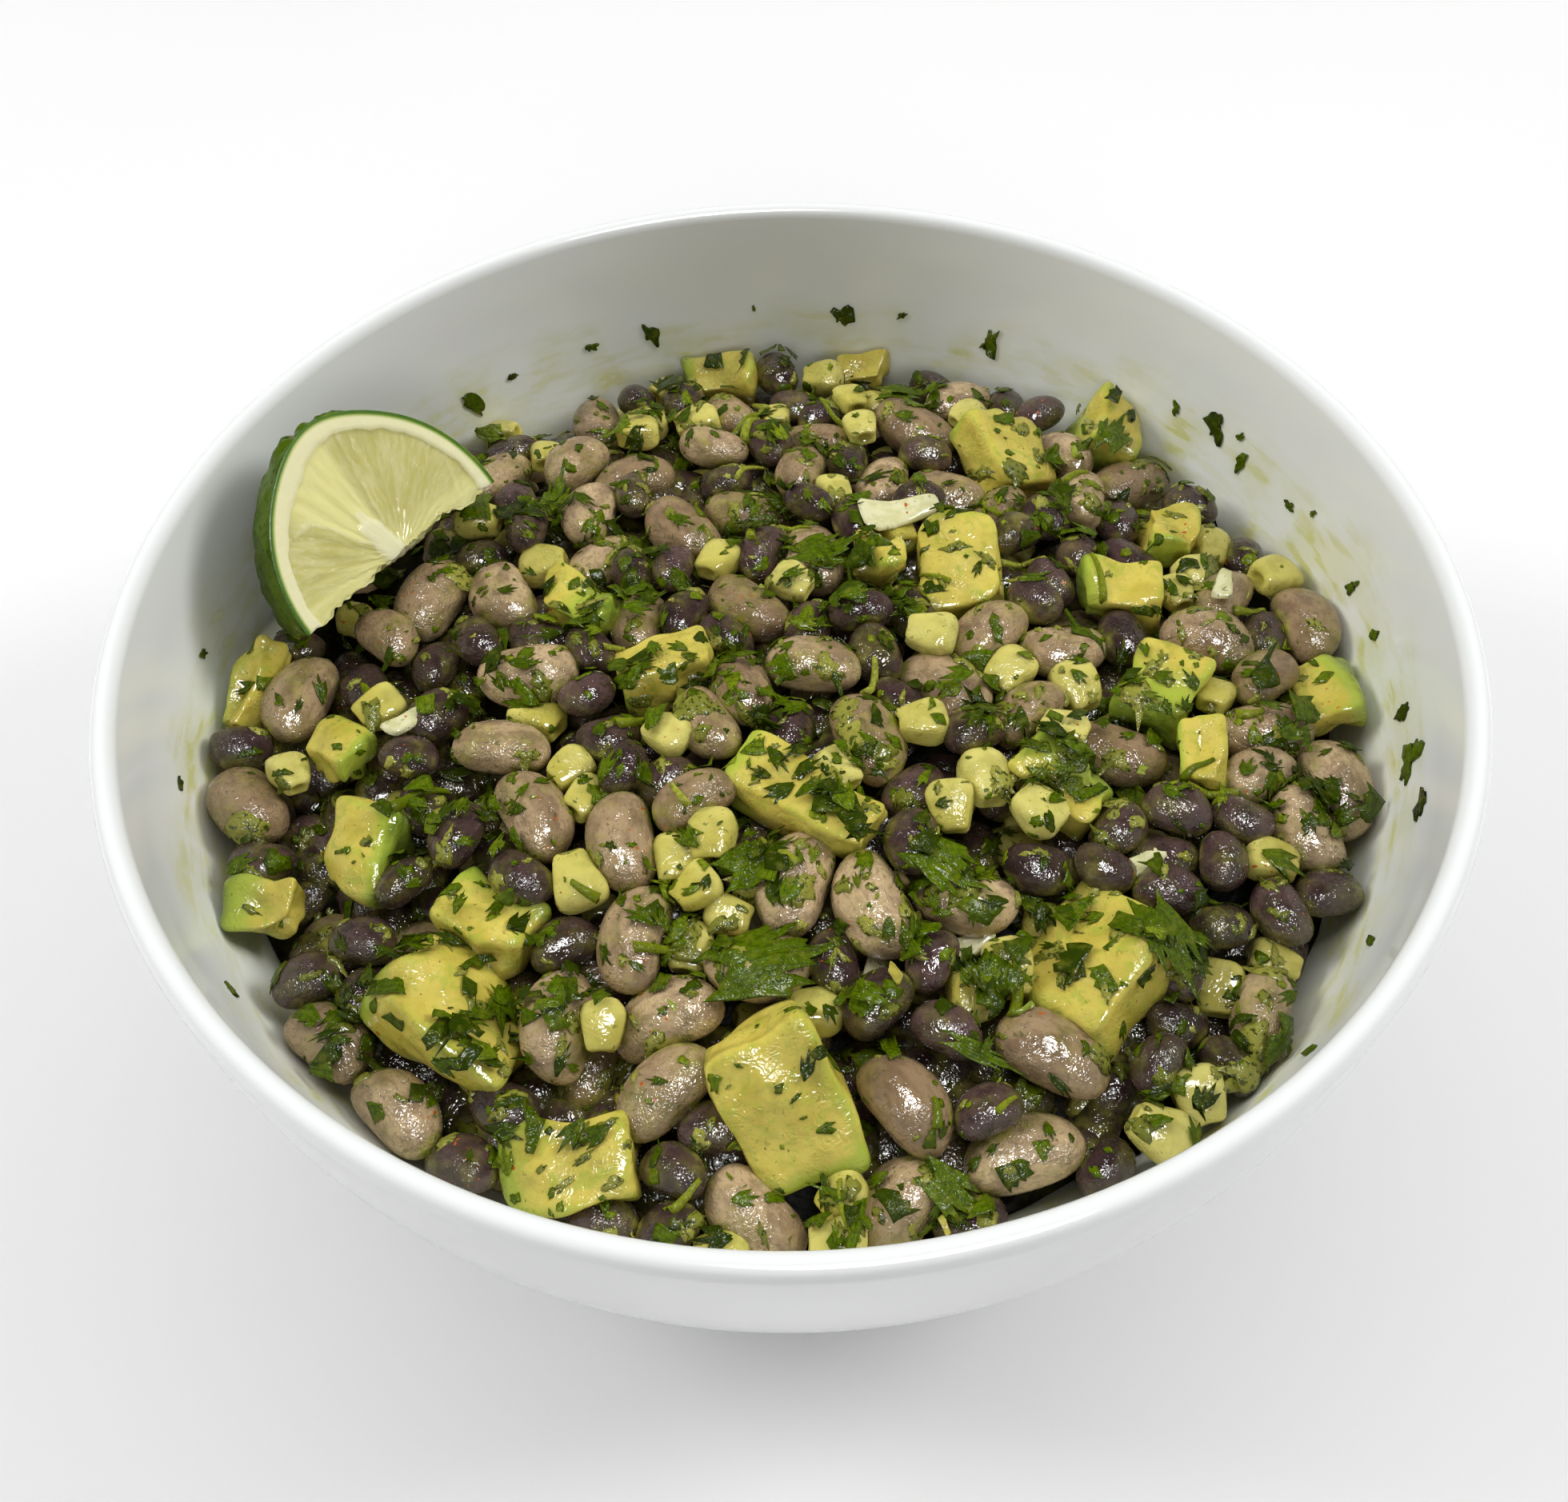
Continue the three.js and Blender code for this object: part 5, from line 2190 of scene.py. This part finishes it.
@dataclass
class OnionShards:
    """A few white shards of onion, small and thin."""

    blanket: Blanket
    thickness: float = 1.8
    width_share: float = 0.55
    lift: float = 0.9

    def build(self) -> None:
        """Lays the shards on the heap."""
        draw = np.random.default_rng(91)
        pile = Pile()
        form = Form.of(gridded_cube(4))
        for x, y, turn, length in SHARDS:
            found = self.blanket.above(x, y)
            if found is None:
                continue
            body = form.points / ((np.abs(form.points) ** 5).sum(1) ** 0.2)[:, None]
            body[:, 1] *= 1 - 0.45 * (body[:, 0] + 1) / 2
            body *= (1 + 0.12 * Unevenness.drawn(draw, 1.8, 5).at(form.points))[:, None]
            body *= np.array([length, length * self.width_share, self.thickness]) / 2
            body[:, 2] += 0.03 * body[:, 0] ** 2
            body = tumbled(body, math.radians(turn), draw.normal() * 0.25)
            pile.add(body + np.array([x, y, found[0][2] + self.lift]), form.triangles)
        pile.build("onion_shards", OnionFinish().material())


@dataclass(frozen=True)
class Membrane:
    """A white line in the cut face, between two points across it and towards its stem."""

    start: tuple[float, float]
    end: tuple[float, float]
    width: float
    whiteness: float


@dataclass
class LimeWedge:
    """The lime wedge: pored peel, cream pith, and a pulp of vesicles with a ragged lower edge."""

    shape: LimeShape
    turns: int = 200
    rings: int = 60
    back_rings: int = 40
    pith: float = 3.3
    sunk: float = 0.6
    ragged: float = 1.2
    segments: int = 9
    membranes: tuple[Membrane, ...] = (
        Membrane((-0.8, 0.0), (-2.2, 8.0), 2.6, 1.0),
        Membrane((-2.2, 8.0), (-2.6, 11.5), 1.0, 0.6),
        Membrane((0.6, 7.0), (3.6, 25.5), 0.2, 0.36),
        Membrane((-2.4, 4.5), (-6.0, 7.8), 0.3, 0.48),
        Membrane((-6.0, 7.8), (-8.8, 12.8), 0.25, 0.42),
        Membrane((-8.8, 12.8), (-12.0, 16.2), 0.25, 0.4),
        Membrane((-12.0, 16.2), (-15.8, 15.8), 0.4, 0.42),
        Membrane((17.5, 1.0), (20.2, 9.5), 0.2, 0.36),
    )

    def build(self) -> None:
        """Makes the wedge from three gridded patches that share their edges."""
        patches = (
            (self.turns, self.rings, self._face),
            (self.turns, self.back_rings, self._peel),
            (2 * self.rings, self.back_rings, self._end),
        )
        wedge = bmesh.new()
        names = ("white", "rim", "edge", "scar", "glow")
        layers = {name: wedge.verts.layers.float.new(name) for name in names}
        grain = wedge.verts.layers.float_vector.new("grain")
        for columns, rows, shaped in patches:
            made = bmesh.ops.create_grid(wedge, x_segments=columns, y_segments=rows, size=1)["verts"]
            points, marks = shaped(*((np.array([vert.co[:2] for vert in made]) + 1) / 2).T)
            reach = np.hypot(points[:, 1], points[:, 2])
            heading = np.arctan2(points[:, 2], points[:, 1])
            streaks = np.column_stack([heading * 15, reach * 0.22, points[:, 0] * 0.3])
            for number, vert in enumerate(made):
                vert.co = points[number]
                vert[grain] = streaks[number]
                for name, values in marks.items():
                    vert[layers[name]] = values[number]
            for part in {part for vert in made for part in vert.link_faces}:
                part.material_index = int(shaped == self._peel)
        bmesh.ops.remove_doubles(wedge, verts=wedge.verts, dist=0.02)
        bmesh.ops.dissolve_degenerate(wedge, edges=wedge.edges, dist=MERGE)
        bmesh.ops.recalc_face_normals(wedge, faces=wedge.faces)
        local = self._torn(np.array([vert.co[:] for vert in wedge.verts]))
        for vert, place in zip(wedge.verts, self.shape.placed(local) * METRES):
            vert.co = place
        finishes = (LimePulp().material(), LimePeel().material())
        dressed(meshed("lime_wedge_cut", wedge), "lime", "lime_wedge", *finishes)

    def _skin(self, out: Array, across: Array, stem: Array) -> Array:
        """Points of the whole lime's skin, from shares of its radii."""
        upwards = self.shape.length * stem + self.shape.nipple * np.maximum(stem, 0) ** 12
        return np.column_stack([self.shape.radius * out, self.shape.radius * across, upwards])

    def _pith_share(self, from_rim: Array) -> Array:
        """How white the pith is at distances from the rim."""
        return 1 - ramp(from_rim, self.pith - 0.4, self.pith + 0.6)

    @property
    def _face_share(self) -> float:
        """How far out of the lime's middle the cut face lies, in shares of its radius."""
        return self.shape.face_offset / self.shape.radius

    def _back_tilt(self, share: Array) -> Array:
        """Angles from the face's edge round to the middle of the back."""
        first = math.asin(self._face_share)
        return first - (math.pi / 2 + first) * share

    def _face(self, turn: Array, share: Array) -> tuple[Array, dict[str, Array]]:
        """The cut face.

        Args:
            turn: How far round it each point is, from one end of the chord to the other.
            share: How far out.

        Returns:
            The points, and their marks by name.
        """
        angle = math.pi * turn
        ring = math.sqrt(1 - self._face_share**2)
        edge = self._skin(np.full_like(turn, self._face_share), ring * np.cos(angle), ring * np.sin(angle))
        points = edge * np.column_stack([np.ones_like(share), share, share])
        from_rim = (1 - share) * np.hypot(edge[:, 1], edge[:, 2])
        uneven = 0.22 * Unevenness(21, 5.0).at(points) - 1.3 * np.exp(-(((turn - 0.6) / 0.14) ** 2))
        white = self._pith_share(from_rim + uneven)
        # Painted light on the pulp: a brighter sector, and a strip by the square end.
        heading = np.arctan2(points[:, 1] + 1.0, points[:, 2] - 1.5)
        glow = ramp(heading, -0.78, -0.55) * (1 - ramp(heading, 0.0, 0.12))
        glow = np.maximum(glow, 0.6 * (1 - ramp(points[:, 2], 0.5, 8.0)))
        wander = 0.12 * Unevenness(22, 4.0).at(points)
        for line in self.membranes:
            far = along_line(points[:, 1:], np.array(line.start), np.array(line.end))[1] + wander
            drawn = 1 - ramp(far, 0.4 * line.width, line.width + 0.9)
            white = np.maximum(white, drawn * line.whiteness)
        vesicles = Unevenness(23, 1.0, 14).at(np.column_stack([angle * 7, share * 1.8, turn * 0]))
        points[:, 0] += (1 - white) * (0.09 * vesicles - self.sunk)
        return points, {"white": white, "rim": 1 - ramp(from_rim, 0.3, 1.6), "glow": glow}

    def _peel(self, turn: Array, share: Array) -> tuple[Array, dict[str, Array]]:
        """The peel.

        Args:
            turn: How far round it each point is, from one end of the chord to the other.
            share: How far from the face's edge round the back.

        Returns:
            The points, and their marks by name.
        """
        angle = math.pi * turn
        tilt = self._back_tilt(share)
        points = self._skin(np.sin(tilt), np.cos(tilt) * np.cos(angle), np.cos(tilt) * np.sin(angle))
        from_stem = np.hypot(points[:, 0] + 2.0, points[:, 1])
        scar = np.where(points[:, 2] > 0, np.exp(-((from_stem / 2.6) ** 2)), 0)
        edge = 1 - ramp(self.shape.face_offset - points[:, 0], 0, 1.8)
        return points, {"edge": edge, "scar": scar, "rim": np.ones_like(share)}

    def _end(self, turn: Array, share: Array) -> tuple[Array, dict[str, Array]]:
        """The square cut end.

        Args:
            turn: How far across it each point is.
            share: How far from the face's edge to the back.

        Returns:
            The points, and their marks by name.
        """
        tilt = self._back_tilt(share)
        spots = np.column_stack([np.sin(tilt), np.cos(tilt) * (1 - 2 * turn), np.zeros_like(turn)])
        points = self.shape.radius * spots
        reach = np.hypot(points[:, 0], points[:, 1])
        from_rim = self.shape.radius - reach
        half_turns = np.arctan2(points[:, 0], points[:, 1]) * self.segments / 2
        walls = 1 - ramp(np.abs(np.sin(half_turns)) * reach / (self.segments / 2), 0.2, 0.8)
        white = np.maximum.reduce([self._pith_share(from_rim), 1 - ramp(reach, 1.5, 3.5), walls])
        return points, {"white": white, "rim": 1 - ramp(from_rim, 0.1, 1.1)}

    def _torn(self, local: Array) -> Array:
        """Roughens the lower edge, puckers the stem end and dimples the peel.

        Args:
            local: The wedge's points, before it is put in its place.

        Returns:
            The points, moved.
        """
        near_end = np.exp(-np.maximum(local[:, 2], 0) / 2.5)
        from_stem = np.hypot(local[:, 0], local[:, 1])
        inside = ramp(self.shape.radius - from_stem, 1.0, 5.0)
        tear = 0.9 * Unevenness(3, 11.0).at(local) + 0.35 * Unevenness(4, 2.6).at(local) + 0.6
        local[:, 2] += self.ragged * near_end * inside * tear
        skin = (from_stem / self.shape.radius) ** 2 + (local[:, 2] / self.shape.length) ** 2
        on_peel = ramp(self.shape.face_offset - local[:, 0], 0.2, 1.5) * ramp(skin, 0.93, 0.99)
        at_stem = local[:, 2] > 10
        folds = np.cos(6 * np.arctan2(local[:, 0], local[:, 1]) + 0.6 * np.sin(local[:, 2]))
        folds = folds * ramp(from_stem, 1.5, 4.0) * (1 - ramp(from_stem, 6.0, 13.0)) * at_stem
        dip = -0.9 * np.exp(-((from_stem - 2.6) ** 2) / 1.6) * at_stem
        lumps = 0.3 * Unevenness(6, 7.0).at(local) + 0.1 * Unevenness(7, 2.2).at(local) - 0.35
        return local + unit(local) * (on_peel * (lumps + 0.45 * folds + dip))[:, None]


@dataclass(frozen=True)
class Panel:
    """One rectangular light that faces the bowl: its place and size in metres, and its power in watts."""

    name: str
    place: tuple[float, float, float]
    size: tuple[float, float]
    power: float
    shows: Shown

    def build(self) -> None:
        """Makes it."""
        light = bpy.data.lights.new(self.name, "AREA")
        light.shape = "RECTANGLE"
        light.size, light.size_y = self.size
        light.energy = self.power
        shown = bpy.data.objects.new(self.name, light)
        shown.visible_glossy = self.shows is Shown.IN_GLOSS
        shown.visible_diffuse = self.shows is Shown.IN_COLOUR
        shown.location = self.place
        shown.rotation_euler = (Vector((0, 0, 0.05)) - Vector(self.place)).to_track_quat("-Z", "Y").to_euler()
        bpy.context.scene.collection.objects.link(shown)


@dataclass
class Studio:
    """The pale table, soft light from above, and the camera at the photograph's angle."""

    camera_place: tuple[float, float, float] = (-1.15, -173.85, 267.22)
    camera_down: float = 53.4
    camera_roll: float = -1.5
    lens: float = 32.75
    sensor: float = 36.0
    table_half: float = 3.0
    room: Colour = (1.0, 1.0, 0.99, 1.0)
    room_light: float = 0.08
    panels: tuple[Panel, ...] = (
        Panel("overhead", (0.0, 0.36, 1.15), (3.0, 0.9), 15.8, Shown.IN_COLOUR),
        Panel("left_side", (-2.0, 0.5, 1.3), (0.8, 0.8), 25.0, Shown.IN_COLOUR),
        Panel("right_side", (2.0, 0.5, 1.3), (0.8, 0.8), 25.5, Shown.IN_COLOUR),
        Panel("low_front", (0.0, -1.3, 0.8), (1.2, 0.4), 4.9, Shown.IN_COLOUR),
        Panel("lamp", (0.16, -0.44, 1.1), (0.44, 0.36), 16.0, Shown.IN_GLOSS),
    )

    def build(self) -> None:
        """Sets up table, light and camera."""
        table = bmesh.new()
        bmesh.ops.create_grid(table, x_segments=8, y_segments=8, size=self.table_half)
        shown = added(meshed("table", table), TableTop().material())
        world = bpy.data.worlds.new("pale_room")
        world.use_nodes = True
        world.node_tree.nodes["Background"].inputs["Color"].default_value = self.room
        world.node_tree.nodes["Background"].inputs["Strength"].default_value = self.room_light
        bpy.context.scene.world = world
        for panel in self.panels:
            panel.build()
        self._camera()
        bpy.context.scene.view_settings.view_transform = "Standard"

    def _camera(self) -> None:
        """The camera."""
        down, roll = math.radians(self.camera_down), math.radians(self.camera_roll)
        right = Vector((1, 0, 0))
        forward = Vector((0, math.cos(down), -math.sin(down)))
        up = right.cross(forward)
        level = right * math.cos(roll) + up * math.sin(roll)
        above = up * math.cos(roll) - right * math.sin(roll)
        data = bpy.data.cameras.new("camera")
        data.lens = self.lens
        data.sensor_width = self.sensor
        data.clip_start = 0.01
        camera = bpy.data.objects.new("camera", data)
        turn = Matrix((level, above, -forward)).transposed().to_4x4()
        camera.matrix_world = Matrix.Translation(Vector(self.camera_place) * METRES) @ turn
        bpy.context.scene.collection.objects.link(camera)
        bpy.context.scene.camera = camera


def main() -> None:
    """Builds the dressed salad and its studio."""
    logging.basicConfig(level=logging.INFO, format="%(name)s %(relativeCreated)d ms %(message)s")
    bowl = BowlShape.from_frame()
    surface = SaladSurface()
    lime = LimeShape()
    heap = Heap(bowl, surface, lime)
    heap.settle()
    Studio().build()
    Bowl(bowl, surface).build()
    solid = [
        Core(bowl, surface).build(),
        Beans("pinto_beans", Food.PINTO, PINTO_SKIN, (24, 15), (14, 9)).build(heap),
        Beans("black_beans", Food.BLACK, BLACK_SKIN, (20, 12), (12, 8), kidney=0.1, blunt=2.3).build(heap),
        Kernels().build(heap),
    ]
    solid.append(AvocadoCubes().build(heap, Blanket.over(solid)))
    blanket = Blanket.over(solid)
    Coriander(bowl, blanket).build()
    Smears(bowl, blanket, surface).build()
    OnionShards(blanket).build()
    LimeWedge(lime).build()


if __name__ == "__main__":
    main()
